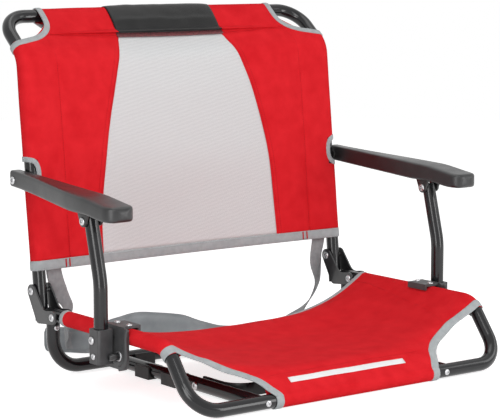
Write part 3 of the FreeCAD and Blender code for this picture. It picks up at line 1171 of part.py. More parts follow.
behind_band = cloth_inner - seam - web_thick / 2
sewn = []
for up in (band_top, size("cover_bottom") - size("webbing_tuck")):
    sewn.append((up * math.sin(lean) - behind_band * math.cos(lean),
                 size("hinge_height") + up * math.cos(lean) + behind_band * math.sin(lean)))
across = (1, 0, 0)
on_edge = (0, 0, 1)
other_edge = (0, 0, -1)
left_web = [(-web_x, sewn[0][0], sewn[0][1], across), (-web_x, sewn[1][0], sewn[1][1], across),
            (3 - web_x, -8, 104, (1, 0.1, 0)), (13 - web_x, -2, 74, (0.9, 0.45, 0.1)),
            (15 - web_x, 32, 46, (0.35, 0.5, 0.8)), (17 - web_x, 78, 26, (0.05, 0.15, 1)),
            (21 - web_x, 106, pad_middle, on_edge), (29 - web_x, 120, pad_middle, on_edge),
            (36.5 - web_x, 124.5, pad_middle, on_edge), (left_end.x, left_end.y, pad_middle, on_edge)]
right_web = [(web_x, sewn[0][0], sewn[0][1], across), (web_x, sewn[1][0], sewn[1][1], across),
             (web_x - 3, -8, 104, (1, -0.1, 0)), (web_x - 10, -4, 76, (0.75, -0.6, -0.1)),
             (web_x - 15, 12, 52, (0.3, -0.6, -0.7)), (web_x - 22, 32, 32, (0.05, -0.3, -0.95)),
             (web_x - 33, 49, 21, (0, -0.1, -1)), (right_end.x, right_end.y, pad_middle, other_edge)]
seat_piece("strap_webbing_left", webbing(left_web))
seat_piece("strap_webbing_right", webbing(right_web))

# Shoulder pad: a padded band that stands on its edge behind the rear leg
pad_side = size("pad_thickness") / 2


def sideways(way):
    return Vector(-way.y, way.x, 0).normalize() * pad_side


pad_rounds = [round_corner(pad_corners[i], pad_corners[i + 1], pad_corners[i + 2], size("pad_bend"))
              for i in range(len(pad_corners) - 2)]
pad_body = new_body("pad_body", ("0", "sizes.hinge_y", "sizes.pad_lift"))
pad_outline = new_sketch(pad_body, "pad_outline", "XY_Plane")
pad_ends = []
for hand in (1, -1):
    run_start = pad_corners[0]
    for (start, middle, end), after in zip(pad_rounds, pad_corners[2:]):
        shift = sideways(start - run_start) * hand
        pad_outline.addGeometry(Part.LineSegment(run_start + shift, start + shift))
        pad_outline.addGeometry(Part.Arc(start + shift, middle + sideways(end - start) * hand,
                                         end + sideways(after - end) * hand))
        run_start = end
    shift = sideways(pad_corners[-1] - run_start) * hand
    pad_outline.addGeometry(Part.LineSegment(run_start + shift, pad_corners[-1] + shift))
    pad_ends.append((pad_corners[0] + sideways(pad_corners[1] - pad_corners[0]) * hand,
                     pad_corners[-1] + sideways(pad_corners[-1] - pad_corners[-2]) * hand))
for first, second in zip(*pad_ends):
    pad_outline.addGeometry(Part.LineSegment(first, second))
pad(pad_body, pad_outline, "sizes.pad_height")
deliver("strap_pad", pad_body)

# Check every object before writing anything
doc.recompute()
for item in doc.Objects:
    if "Invalid" in item.State or "Error" in item.State:
        raise RuntimeError("%s failed: %s" % (item.Name, item.State))
for item in nodes:
    if item.Shape.isNull() or not item.Shape.isValid() or not item.Shape.Solids:
        raise RuntimeError("%s has no valid shape" % item.Label)
os.makedirs("parts", exist_ok=True)
for item in nodes:
    item.Shape.exportStep("parts/%s.step" % item.Label)
print(len(nodes), "sub-parts")
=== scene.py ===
import bmesh
import bpy
import math
from mathutils import Matrix, Vector, noise


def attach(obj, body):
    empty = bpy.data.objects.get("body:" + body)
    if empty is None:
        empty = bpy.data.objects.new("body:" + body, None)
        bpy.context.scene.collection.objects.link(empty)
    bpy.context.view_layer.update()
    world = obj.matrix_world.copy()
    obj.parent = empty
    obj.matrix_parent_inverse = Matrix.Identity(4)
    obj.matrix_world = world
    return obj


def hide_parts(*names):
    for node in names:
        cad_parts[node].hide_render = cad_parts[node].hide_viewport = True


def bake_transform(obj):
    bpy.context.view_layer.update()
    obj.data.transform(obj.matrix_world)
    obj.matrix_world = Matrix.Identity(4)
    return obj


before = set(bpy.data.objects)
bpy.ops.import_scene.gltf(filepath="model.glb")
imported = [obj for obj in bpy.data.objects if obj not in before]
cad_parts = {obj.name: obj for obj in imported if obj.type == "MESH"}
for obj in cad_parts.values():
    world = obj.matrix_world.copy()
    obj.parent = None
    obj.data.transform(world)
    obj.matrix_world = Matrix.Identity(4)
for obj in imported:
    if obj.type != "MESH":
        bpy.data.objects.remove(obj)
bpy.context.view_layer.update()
mm = 0.001

# Studio: a plain pale floor, soft light from large lamps and a camera at the photograph's angle.
# The floor and the air are white where the camera, a reflection or glass sees them.
scene = bpy.context.scene
scene.view_settings.view_transform = "Standard"
camera = bpy.data.objects.new("camera", bpy.data.cameras.new("camera"))
scene.collection.objects.link(camera)
scene.camera = camera
camera.data.lens = 140.4
camera.data.sensor_width = 36
eye = Vector((-1.6593, -2.1976, 0.5974))
aim = Vector((-0.07111, -0.10058, 0.24085))
camera.location = eye
camera.rotation_euler = (aim - eye).to_track_quat("-Z", "Y").to_euler()


def add_node(tree, kind, **inputs):
    """A shader node with some of its inputs set; an underscore in a name stands for a space."""
    made = tree.nodes.new("ShaderNode" + kind)
    for name, value in inputs.items():
        made.inputs[name.replace("_", " ")].default_value = value
    return made


def seen_directly(tree):
    """One for a ray from the camera, a reflection or glass, and otherwise nought."""
    rays = add_node(tree, "LightPath")
    either = add_node(tree, "Math")
    either.operation = "ADD"
    tree.links.new(rays.outputs["Is Camera Ray"], either.inputs[0])
    tree.links.new(rays.outputs["Is Glossy Ray"], either.inputs[1])
    any_ray = add_node(tree, "Math")
    any_ray.operation = "ADD"
    any_ray.use_clamp = True
    tree.links.new(either.outputs[0], any_ray.inputs[0])
    tree.links.new(rays.outputs["Is Transmission Ray"], any_ray.inputs[1])
    return any_ray.outputs[0]


air = bpy.data.worlds.new("studio_air")
scene.world = air
air.use_nodes = True
air_light = air.node_tree.nodes["Background"]
air_light.inputs["Color"].default_value = (1, 1, 1, 1)
air_level = add_node(air.node_tree, "MapRange", To_Min=0.36, To_Max=1.0)
air.node_tree.links.new(seen_directly(air.node_tree), air_level.inputs["Value"])
air.node_tree.links.new(air_level.outputs[0], air_light.inputs["Strength"])
for lamp_name, lamp_place, lamp_size, lamp_power in (
        ("front_lamp", (-1.3, -1.9, 1.5), (0.9, 0.9), 11),
        ("side_lamp", (1.9, -1.2, 1.1), (0.7, 0.9), 5),
        ("top_lamp", (0.2, 0.1, 2.2), (1.2, 1.2), 8),
        ("high_lamp", (-0.7, -1.7, 1.9), (1.6, 0.25), 6),
        ("low_left_lamp", (-1.25, -0.85, 0.4), (0.5, 0.75), 6.5),
        ("low_right_lamp", (0.7, -1.4, 0.4), (0.5, 0.75), 6.5)):
    lamp = bpy.data.objects.new(lamp_name, bpy.data.lights.new(lamp_name, "AREA"))
    scene.collection.objects.link(lamp)
    lamp.data.shape = "RECTANGLE"
    lamp.data.size, lamp.data.size_y = lamp_size
    lamp.data.energy = lamp_power
    lamp.location = lamp_place
    lamp.rotation_euler = (Vector((0, 0, 0.2)) - lamp.location).to_track_quat("-Z", "Y").to_euler()
floor_mesh = bmesh.new()
bmesh.ops.create_circle(floor_mesh, cap_ends=True, segments=64, radius=4.0)
floor = bpy.data.objects.new("floor", bpy.data.meshes.new("floor"))
floor_mesh.to_mesh(floor.data)
floor_mesh.free()
scene.collection.objects.link(floor)
floor_paint = bpy.data.materials.new("pale_floor")
floor_paint.use_nodes = True
floor_shader = floor_paint.node_tree.nodes["Principled BSDF"]
floor_shader.inputs["Base Color"].default_value = (0.8, 0.8, 0.8, 1)
floor_shader.inputs["Roughness"].default_value = 0.9
floor_shader.inputs["Specular IOR Level"].default_value = 0.0
floor_shader.inputs["Emission Color"].default_value = (1, 1, 1, 1)
floor_glow = add_node(floor_paint.node_tree, "MapRange", To_Min=0.0, To_Max=0.78)
floor_paint.node_tree.links.new(seen_directly(floor_paint.node_tree), floor_glow.inputs["Value"])
floor_paint.node_tree.links.new(floor_glow.outputs[0], floor_shader.inputs["Emission Strength"])
floor.data.materials.append(floor_paint)

# Frame: bent round tube of thin steel, welded and bolted into two loops and two short rails.
# It is coated with charcoal enamel, smooth and glossy with a faint ripple.


def new_finish(name, colour, rough, metal=0.0):
    """A material with its node tree and shader."""
    finish = bpy.data.materials.new(name)
    finish.use_nodes = True
    shader = finish.node_tree.nodes["Principled BSDF"]
    shader.inputs["Base Color"].default_value = (*colour, 1)
    shader.inputs["Roughness"].default_value = rough
    shader.inputs["Metallic"].default_value = metal
    return finish, finish.node_tree, shader


def strength_of(pattern):
    """The plain value that a pattern node gives."""
    return pattern.outputs["Factor" if "Factor" in pattern.outputs else "Fac"]


def object_noise(tree, scale, detail=3.0):
    """Noise that is fixed to the piece, with its scale in waves to the metre."""
    place = add_node(tree, "TexCoord")
    pattern = add_node(tree, "TexNoise", Scale=scale, Detail=detail)
    tree.links.new(place.outputs["Object"], pattern.inputs["Vector"])
    return strength_of(pattern)


def mottle(tree, shader, pattern, dark, light):
    """Colour that wanders between two tones."""
    tones = add_node(tree, "ValToRGB")
    tones.color_ramp.elements[0].position = 0.3
    tones.color_ramp.elements[0].color = (*dark, 1)
    tones.color_ramp.elements[1].position = 0.7
    tones.color_ramp.elements[1].color = (*light, 1)
    tree.links.new(pattern, tones.inputs[0])
    tree.links.new(tones.outputs[0], shader.inputs["Base Color"])
    return tones


def patchy_gloss(tree, shader, pattern, low, high):
    """Roughness that wanders between two values."""
    spread = add_node(tree, "MapRange", From_Min=0.3, From_Max=0.7, To_Min=low, To_Max=high)
    tree.links.new(pattern, spread.inputs["Value"])
    tree.links.new(spread.outputs[0], shader.inputs["Roughness"])


def relief(tree, shader, pattern, depth):
    """Bumps of a depth in metres."""
    bump = add_node(tree, "Bump", Strength=1.0, Distance=depth)
    tree.links.new(pattern, bump.inputs["Height"])
    tree.links.new(bump.outputs[0], shader.inputs["Normal"])


def coat(name, colour, rough, tones, gloss=None, bumps=None, metal=0.0):
    """A hard finish. Each of tones, gloss and bumps opens with the scale of its noise."""
    finish, tree, shader = new_finish(name, colour, rough, metal)
    mottle(tree, shader, object_noise(tree, tones[0]), *tones[1:])
    if gloss:
        patchy_gloss(tree, shader, object_noise(tree, gloss[0]), *gloss[1:])
    if bumps:
        relief(tree, shader, object_noise(tree, bumps[0]), bumps[1])
    return finish, shader


enamel, enamel_shader = coat("charcoal_enamel", (0.015, 0.015, 0.017), 0.2,
                             (60, (0.007, 0.007, 0.008), (0.011, 0.011, 0.0125)),
                             (25, 0.11, 0.17), (700, 0.00004))
enamel_shader.inputs["Specular IOR Level"].default_value = 0.4


def dress(finish, *names):
    """Gives CAD nodes a finish."""
    for name in names:
        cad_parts[name].data.materials.clear()
        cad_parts[name].data.materials.append(finish)


def ease_edges(width, *names):
    """Small rounds on the sharp edges of CAD nodes."""
    for name in names:
        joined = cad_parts[name].modifiers.new("joined", "WELD")
        joined.merge_threshold = 0.00002
        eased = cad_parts[name].modifiers.new("eased", "BEVEL")
        eased.width = width * mm
        eased.segments = 3
        eased.limit_method = "ANGLE"
        eased.angle_limit = math.radians(40)
        eased.harden_normals = True


dress(enamel, "seat_rail_left", "seat_rail_right", "front_bar", "rear_leg", "lower_rail_left",
      "lower_rail_right", "upright_left", "upright_right", "top_bow", "post_tube_left", "post_tube_right")

# Fasteners: rivets, pivot bolts and small screws with domed heads and a round recess.
# They are steel with bright zinc plating, turned to shape.
zinc = coat("bright_zinc", (0.72, 0.72, 0.73), 0.28, (500, (0.4, 0.4, 0.41), (0.58, 0.58, 0.59)),
            (900, 0.2, 0.4), metal=1.0)[0]


def turned(bm, outline, place, way):
    """Turns an outline of radii and heights in mm round an axis at a place."""
    before = set(bm.verts)
    line = [bm.verts.new((radius * mm, 0, height * mm)) for radius, height in outline]
    edges = [bm.edges.new(pair) for pair in zip(line, line[1:])]
    bmesh.ops.spin(bm, geom=line + edges, cent=(0, 0, 0), axis=(0, 0, 1), angle=2 * math.pi,
                   steps=20, use_merge=True)
    made = [vertex for vertex in bm.verts if vertex not in before]
    turn = Vector((0, 0, 1)).rotation_difference(Vector(way)).to_matrix().to_4x4()
    bmesh.ops.transform(bm, matrix=Matrix.Translation(Vector(place) * mm) @ turn, verts=made)
    bmesh.ops.remove_doubles(bm, verts=made, dist=0.00001)


def fastener(bm, place, way, radius, height, length, both=False):
    """A head at a place that faces a way, with its shank behind it and perhaps a second head."""
    head = [(0, 0.2 * height), (0.34 * radius, 0.2 * height), (0.4 * radius, 0.95 * height),
            (0.6 * radius, height), (0.86 * radius, 0.75 * height), (radius, 0.35 * height), (radius, 0)]
    shank = 0.5 * radius
    if both:
        far = [(r, -length - h) for r, h in reversed(head)]
        turned(bm, head + [(shank, 0), (shank, -length)] + far, place, way)
    else:
        turned(bm, head + [(shank, 0), (shank, -length), (0, -length)], place, way)


def keep_piece(name, bm, finish, body, slot, *replaced):
    """Makes a piece of a mesh, rides it on a body and lets it stand for CAD nodes."""
    mesh = bpy.data.meshes.new(name)
    bmesh.ops.recalc_face_normals(bm, faces=bm.faces)
    bm.to_mesh(mesh)
    bm.free()
    mesh.shade_smooth()
    mesh.materials.append(finish)
    piece = bpy.data.objects.new(name, mesh)
    scene.collection.objects.link(piece)
    if replaced:
        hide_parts(*replaced)
    if body:
        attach(piece, body)
    return piece


def fastener_set(name, body, heads, *replaced):
    """Like fasteners on both sides of the seat, given for the right side."""
    bm = bmesh.new()
    for (x, y, z), (wx, wy, wz), radius, height, length, both, sides in heads:
        for side in sides:
            fastener(bm, (side * x, y, z), (side * wx, wy, wz), radius, height, length, both)
    piece = keep_piece(name, bm, zinc, body, "fastener", *replaced)
    piece.data.set_sharp_from_angle(angle=math.radians(50))
    return piece


both_sides = (-1, 1)
out, ahead, upward = (1, 0, 0), (0, -1, 0), (0, 0, 1)
fastener_set("hinge_rivet_heads", "seat_frame",
             [((280.9, 129.3, 117.5), out, 5.5, 2.2, 28.8, True, both_sides)], "hinge_rivets")
fastener_set("rail_rivet_heads", "seat_frame",
             [((280.9, 75.3, 88), out, 5.5, 2.2, 28.8, True, both_sides)], "rail_rivets")
fastener_set("leg_screw_heads", "seat_frame",
             [((266.5, 85.8, 71), ahead, 4.2, 1.8, 6, False, both_sides)], "leg_screws")
fastener_set("front_bar_screw_heads", "seat_frame",
             [((156, -252.7, 11.5), ahead, 4.2, 1.8, 6, False, both_sides)], "front_bar_screws")
fastener_set("bracket_screw_heads", "seat_frame",
             [((266.5, -67.7, 102.9), upward, 4.2, 1.8, 3.6, False, both_sides),
              ((266.5, -95.7, 102.9), upward, 4.2, 1.8, 3.6, False, both_sides)], "bracket_screws")
fastener_set("post_pivot_heads", "seat_frame",
             [((310.4, -72.7, 84), out, 5.5, 2.2, 32.5, False, both_sides)], "post_pivot_bolts")
fastener_set("hook_pivot_heads", "seat_frame",
             [((171.5, -110.7, 11.5), out, 5.5, 2.2, 24, True, both_sides)], "hook_pivot_screws")
fastener_set("arm_pivot_heads", "back_frame",
             [((297.5, 146.7, 273.5), out, 5.5, 2.2, 25.1, False, both_sides)], "arm_pivot_bolts")
for side, sign in (("left", -1), ("right", 1)):
    fastener_set("arm_post_head_" + side, "armrest_" + side,
                 [((311.7, -55.3, 240), out, 5.5, 2.2, 27.9, True, (sign,))], "arm_post_bolt_" + side)
    fastener_set("socket_screw_head_" + side, "post_" + side,
                 [((310.1, -76.2, 63), out, 4.2, 1.8, 6, False, (sign,))], "socket_screw_" + side)

# Hinges: a pair of stamped plates on each side, riveted to the rail, with a roller at the heel.
# The plates, rollers, tube plugs and the arm's spacers are black or dark grey and satin.
satin = coat("satin_moulding", (0.06, 0.06, 0.062), 0.5, (90, (0.036, 0.036, 0.038), (0.052, 0.052, 0.054)),
             (40, 0.42, 0.58), (1600, 0.00008))[0]
plate_coat, plate_shader = coat("plate_enamel", (0.03, 0.03, 0.032), 0.34,
                                (110, (0.008, 0.008, 0.009), (0.014, 0.014, 0.015)),
                                (45, 0.28, 0.45), (900, 0.00006))
plate_shader.inputs["Coat Weight"].default_value = 0.3
rubber = coat("black_rubber", (0.018, 0.018, 0.018), 0.62, (140, (0.014, 0.014, 0.014), (0.026, 0.026, 0.026)),
              bumps=(1200, 0.0001))[0]
dress(plate_coat, "hinge_plates_left", "hinge_plates_right")
ease_edges(0.5, "hinge_plates_left", "hinge_plates_right")
dress(rubber, "stop_barrels", "rail_end_plugs", "upright_end_plugs", "arm_spacers")
ease_edges(0.6, "stop_barrels", "rail_end_plugs", "upright_end_plugs")

# Arm brackets and post sockets: moulded plastic saddles on the rails, each with a raised rim at
# its front edge, and box-shaped sockets for the posts. A stop pin stands on each bracket.
dress(satin, "arm_bracket_left", "arm_bracket_right", "post_socket_left", "post_socket_right")
ease_edges(0.9, "arm_bracket_left", "arm_bracket_right")
ease_edges(1.0, "post_socket_left", "post_socket_right")


def smooth_points(points, steps):
    """Points of a smooth line through the given ones, with steps between each pair."""
    line = [Vector(point) for point in points]
    made = []
    for i in range(len(line) - 1):
        start, end = line[i], line[i + 1]
        before = line[i - 1] if i > 0 else start * 2 - end
        after = line[i + 2] if i + 2 < len(line) else end * 2 - start
        for k in range(steps):
            t = k / steps
            made.append(0.5 * (2 * start + (end - before) * t
                               + (2 * before - 5 * start + 4 * end - after) * t ** 2
                               + (3 * start - before - 3 * end + after) * t ** 3))
    return made + [line[-1]]


def ribbon(bm, line, width, thick):
    """A flat band with rounded edges along a line of places and the ways its face looks, in mm."""
    around = 10
    made = bmesh.ops.create_grid(bm, x_segments=around, y_segments=len(line) - 1, size=0.5)
    layer = bm.loops.layers.uv.verify()
    lengths = [0.0]
    for (here, _), (there, _) in zip(line, line[1:]):
        lengths.append(lengths[-1] + (there - here).length)
    spots = {}
    for vertex in made["verts"]:
        step = round((vertex.co.x + 0.5) * around)
        row = round((vertex.co.y + 0.5) * (len(line) - 1))
        place, face = line[row]
        way = line[min(row + 1, len(line) - 1)][0] - line[max(row - 1, 0)][0]
        across = way.cross(face).normalized()
        face = across.cross(way).normalized()
        angle = 2 * math.pi * step / around
        flat = math.copysign(abs(math.cos(angle)) ** 0.35, math.cos(angle)) * width / 2
        lift = math.copysign(abs(math.sin(angle)) ** 0.7, math.sin(angle)) * thick / 2
        spots[vertex] = (flat * mm, lengths[row] * mm)
        vertex.co = (place + across * flat + face * lift) * mm
    for face in {face for vertex in made["verts"] for face in vertex.link_faces}:
        for loop in face.loops:
            loop[layer].uv = spots[loop.vert]
    bmesh.ops.remove_doubles(bm, verts=made["verts"], dist=0.00001)
    rims = [edge for edge in bm.edges if edge.is_boundary]
    bmesh.ops.holes_fill(bm, edges=rims)


for side, sign in (("left", -1), ("right", 1)):
    bm = bmesh.new()
    rim = smooth_points([(sign * 281.2, -112, 101), (sign * 281.6, -109.5, 87), (sign * 281.6, -110.5, 64),
                         (sign * 281.6, -106, 51), (sign * 281.6, -95, 46.5)], 6)
    ribbon(bm, [(point, Vector((sign, 0, 0))) for point in rim], 7, 5)
    keep_piece("bracket_rim_" + side, bm, satin, "seat_frame", "moulding")
for name, finish, outline, replaced in (
        ("stop_pin", plate_coat, [(0, 16), (3.6, 16), (4.5, 15.1), (4.5, 0), (0, 0)], ["post_stop_pins"]),
        ("stop_washer", zinc, [(4.6, 1.6), (6.2, 1.6), (6.8, 1.1), (6.8, 0), (4.6, 0)], [])):
    bm = bmesh.new()
    for sign in both_sides:
        turned(bm, outline, (sign * 281.4, -93.8, 63), (sign, 0, 0))
    bmesh.ops.remove_doubles(bm, verts=bm.verts, dist=0.00001)
    turned_piece = keep_piece(name, bm, finish, "seat_frame", "fastener", *replaced)
    turned_piece.data.set_sharp_from_angle(angle=math.radians(50))

# Armrests: moulded plastic arms, slim and squared at the bolt behind and broad at the front.
# Two ears under each arm hold the post's bolt.
arm_plastic = coat("arm_plastic", (0.034, 0.034, 0.035), 0.42,
                   (50, (0.013, 0.013, 0.0135), (0.02, 0.02, 0.021)), (30, 0.3, 0.42), (1500, 0.00007))[0]
arm_length, arm_inner = 294.9, 278.8


def smoothstep(value):
    value = min(max(value, 0.0), 1.0)
    return value * value * (3 - 2 * value)


def mapped_grid(bm, columns, rows, cut, place):
    """A grid of cloth or shell: cut gives a point of the flat piece in mm, place its spot in mm."""
    made = bmesh.ops.create_grid(bm, x_segments=columns, y_segments=rows, size=0.5)
    layer = bm.loops.layers.uv.verify()
    flat = {}
    for vertex in made["verts"]:
        flat[vertex] = cut(vertex.co.x + 0.5, vertex.co.y + 0.5)
        vertex.co = place(*flat[vertex]) * mm
    for face in {face for vertex in made["verts"] for face in vertex.link_faces}:
        for loop in face.loops:
            loop[layer].uv = (flat[loop.vert][0] * mm, flat[loop.vert][1] * mm)


def end_share(distance, round_off, power):
    """How full a section is at a distance from an end that is rounded off."""
    left = max(1 - distance / round_off, 0.0)
    return (1 - left ** power) ** (1 / power)


def arm_place(angle, run):
    """A point of the right arm: an angle round its section, and a run from the rear end."""
    y = 157.2 - run
    full = min(end_share(run, 4, 2.5), 1) * min(end_share(arm_length - run, 20, 2.4), 1)
    high = 287.3 - 16.5 * run / arm_length - 5 * smoothstep((run - 215) / 80)
    low = 264.6 - 13.8 * min(run / 190, 1) - 5 * smoothstep((run - 225) / 50)
    far = 297.3 + 25.5 * smoothstep((run - 5) / 235)
    flat = math.copysign(abs(math.cos(angle)) ** 0.32, math.cos(angle))
    lift = math.copysign(abs(math.sin(angle)) ** 0.32, math.sin(angle))
    middle = (arm_inner + far) / 2
    side_full = min(end_share(arm_length - run, 8, 2.4), 1) * min(end_share(run, 4, 2.5), 1)
    return Vector((middle + flat * full * (far - arm_inner) / 2, y,
                   (high + low) / 2 + lift * side_full * (high - low) / 2))


for side, sign in (("left", -1), ("right", 1)):
    bm = bmesh.new()
    mapped_grid(bm, 48, 90, lambda u, v: (u * 2 * math.pi, arm_length * (0.5 - 0.5 * math.cos(math.pi * v))),
                arm_place)
    bmesh.ops.remove_doubles(bm, verts=bm.verts, dist=0.00002)
    for near in (283.9, 307.7):
        turns = [math.pi * i / 12 for i in range(13)]
        rim = [(-15, 16)] + [(-8 * math.cos(turn), -8 * math.sin(turn)) for turn in turns] + [(15, 16)]
        corners = [bm.verts.new(Vector((near, -55.3 + y, 240 + z)) * mm) for y, z in rim]
        grown = bmesh.ops.extrude_face_region(bm, geom=[bm.faces.new(corners)])
        pushed = [item for item in grown["geom"] if isinstance(item, bmesh.types.BMVert)]
        bmesh.ops.translate(bm, verts=pushed, vec=(4 * mm, 0, 0))
        edges = list({edge for vertex in corners + pushed for edge in vertex.link_edges})
        sharp = [edge for edge in edges if len(edge.link_faces) == 2 and edge.calc_face_angle() > 0.9]
        bmesh.ops.bevel(bm, geom=sharp, offset=0.8 * mm, offset_type="OFFSET", affect="EDGES", segments=2,
                        profile=0.5, material=-1)
    bmesh.ops.scale(bm, vec=(sign, 1, 1), verts=bm.verts)
    arm = keep_piece("arm_shell_" + side, bm, arm_plastic, "armrest_" + side, "armrest", "armrest_" + side)
    arm.data.set_sharp_from_angle(angle=math.radians(45))

# Back cover: two red side panels of woven polyester, sewn as sleeves round the uprights and the
# top tube, with a cut for each arm. A pale mesh fills the middle, stretched between them.
def cloth_finish(name, dark, light, thread, depth, rough, sheen):
    """Woven cloth: threads that cross, a slow change of tone and a soft sheen."""
    finish, tree, shader = new_finish(name, light, rough)
    shader.inputs["Sheen Weight"].default_value = sheen
    shader.inputs["Sheen Roughness"].default_value = 0.5
    shader.inputs["Specular IOR Level"].default_value = 0.04
    spot = add_node(tree, "UVMap")
    weave = []
    for direction in ("X", "Y"):
        threads = add_node(tree, "TexWave", Scale=0.314 / (thread * mm), Distortion=0.6, Detail=1.0)
        threads.bands_direction = direction
        tree.links.new(spot.outputs[0], threads.inputs["Vector"])
        weave.append(strength_of(threads))
    cross = add_node(tree, "Math")
    cross.operation = "MULTIPLY"
    tree.links.new(weave[0], cross.inputs[0])
    tree.links.new(weave[1], cross.inputs[1])
    relief(tree, shader, cross.outputs[0], depth * mm)
    tones = mottle(tree, shader, object_noise(tree, 45, 5.0), dark, light)
    shade = add_node(tree, "MixRGB", Fac=0.12)
    shade.blend_type = "MULTIPLY"
    tree.links.new(tones.outputs[0], shade.inputs["Color1"])
    tree.links.new(cross.outputs[0], shade.inputs["Color2"])
    tree.links.new(shade.outputs[0], shader.inputs["Base Color"])
    return finish


red_cloth = cloth_finish("red_polyester", (0.70, 0.014, 0.021), (0.80, 0.022, 0.03), 0.9, 0.12, 0.75, 0.0)
red_thread = cloth_finish("red_thread", (0.5, 0.012, 0.018), (0.6, 0.018, 0.024), 0.5, 0.05, 0.6, 0.02)


fold_axis = Vector((0, 129.3, 117.5))
sleeve, frame_half = 10.35, 266.5
cover_foot, cover_top, panel_edge = 42, 408.4, 261.4


def back_axis(up):
    """Point of an upright's centre line and its lean, a way up from the fold axis."""
    lean, bend, radius, start = math.radians(6.35), math.radians(44), 40, 313.8
    turn = min(max((up - start) / radius, 0), bend)
    along = Vector((0, math.sin(lean), math.cos(lean)))
    rear = Vector((0, math.cos(lean), -math.sin(lean)))
    point = fold_axis + along * min(up, start)
    point += along * radius * math.sin(turn) + rear * radius * (1 - math.cos(turn))
    past = max(up - start - radius * bend, 0)
    return point + Vector((0, math.sin(lean + turn), math.cos(lean + turn))) * past, lean + turn


def back_place(across, up, lift):
    """A point of the cover. Past an upright or the top tube it goes round it and back to the seam."""
    radius = sleeve + lift
    point, lean = back_axis(min(up, cover_top))
    front = Vector((0, -math.cos(lean), math.sin(lean)))
    rise = Vector((0, math.sin(lean), math.cos(lean)))
    sign = 1 if across > 0 else -1
    beyond = abs(across) - frame_half
    over = up - cover_top
    hollow = 16 - 11 * smoothstep((up - 75) / 110) + 9 * smoothstep((up - 262) / 90)
    hollow *= (1 - smoothstep((up - 335) / 73)) * max(1 - (across / 250) ** 2, 0)
    if over > 0:
        turn = min(over / sleeve, math.pi)
        down = max(over - math.pi * sleeve, 0)
        share = min(down / 48, 1)
        depth = math.cos(turn) * radius + share * (radius + 8.4)
        return point + front * depth + rise * (math.sin(turn) * radius - down) + Vector((across, 0, 0))
    if beyond > 0:
        turn = min(beyond / sleeve, math.pi)
        inward = max(beyond - math.pi * sleeve, 0)
        share = min(inward / 48, 1)
        depth = math.cos(turn) * radius + share * (radius + 7.2)
        return point + front * depth + Vector((sign * (frame_half + math.sin(turn) * radius - inward), 0, 0))
    return point + front * (radius - hollow) + Vector((across, 0, 0))


def mesh_half(up):
    """Half width of the mesh between the panels."""
    share = (min(up, 350) - cover_foot) / 308
    return 157.5 - 61 * max(share, 0) ** 2 - 3 * smoothstep((up - 350) / 8)


def corner_cut(up):
    """How far out the panel reaches at the top, where its corner is cut away."""
    share = (math.sqrt(36 + 112 * max(up - 348, 0)) - 6) / 56
    return panel_edge - 52 * min(share, 1)


def back_ripple(across, up):
    """Small waves in the stretched cloth, strongest beside its seams."""
    wave = 0.7 * noise.noise(Vector((across / 55, up / 90, 3)))
    seam = math.exp(-((abs(across) - 217) / 5) ** 2)
    seam += math.exp(-((abs(across) - mesh_half(up) - 4) / 4) ** 2)
    pucker = 0.35 * noise.noise(Vector((across / 14, up / 5, 7))) * seam
    groove = -0.9 * math.exp(-((abs(across) - 217) / 1.8) ** 2) if up < 352 and abs(across) < 262 else 0
    groove -= 0.9 * math.exp(-((up - 360) / 1.8) ** 2) if 345 < up < 380 else 0
    return wave + pucker + groove


def panel_place(across, up):
    return back_place(across, up, back_ripple(across, up))


def thicken(piece, thickness):
    """Gives a sheet its thickness, half to each side."""
    wall = piece.modifiers.new("thickness", "SOLIDIFY")
    wall.thickness = thickness * mm
    wall.offset = 0


back_panels = {}
for side, sign in (("left", -1), ("right", 1)):
    bm = bmesh.new()
    for low, high, rows, wrapped in ((cover_foot, 143, 32, True), (143, 183, 14, False), (183, 348, 50, True)):
        tall = high - low
        mapped_grid(bm, 44, rows, lambda u, v: (
            sign * (mesh_half(low + tall * v) * (1 - u) + panel_edge * u), low + tall * v), panel_place)
        if wrapped:
            mapped_grid(bm, 30, rows, lambda u, v: (sign * (panel_edge + 85.5 * u), low + tall * v),
                        panel_place)
    for low, high, rows in ((348, 359, 6), (359, cover_top, 18), (cover_top, 440.9, 12), (440.9, 488, 10)):
        tall = high - low
        mapped_grid(bm, 44, rows, lambda u, v: (
            sign * (mesh_half(low + tall * v) * (1 - u) + corner_cut(low + tall * v) * u),
            low + tall * v), panel_place)
    bmesh.ops.remove_doubles(bm, verts=bm.verts, dist=0.00003)
    back_panels[side] = keep_piece("back_cloth_" + side, bm, red_cloth, "back_frame", "red_cloth",
                                   "back_panel_" + side)
    thicken(back_panels[side], 1.1)

# Stitching: rows of thread along the sleeve seams, the mesh seams and the edge of the top sleeve.
# Each stitch is a short length of thread that dips into the cloth at both ends.


def stitch_row(bm, line, pitch, length, thick):
    """Stitches along a line of places and the ways its face looks, in mm."""
    gap = 0.0
    for (here, face), (there, _) in zip(line, line[1:]):
        step = (there - here).length
        way = (there - here).normalized()
        across = face.cross(way).normalized()
        turn = Matrix((way, across, way.cross(across))).transposed().to_4x4()
        while gap < step:
            size = Matrix.Diagonal((length / 2 * mm, thick / 2 * mm, thick / 2 * mm, 1))
            spot = Matrix.Translation((here + way * gap + face.normalized() * 0.15) * mm)
            bmesh.ops.create_uvsphere(bm, u_segments=6, v_segments=4, radius=1, matrix=spot @ turn @ size)
            gap += pitch
        gap -= step


def on_back(points, lift):
    """Places on the back cover and the ways its face looks, for a line of points across and up."""
    line = []
    for across, up in points:
        place = back_place(across, up, lift)
        line.append((place, (back_place(across, up, lift + 1) - place).normalized()))
    return line


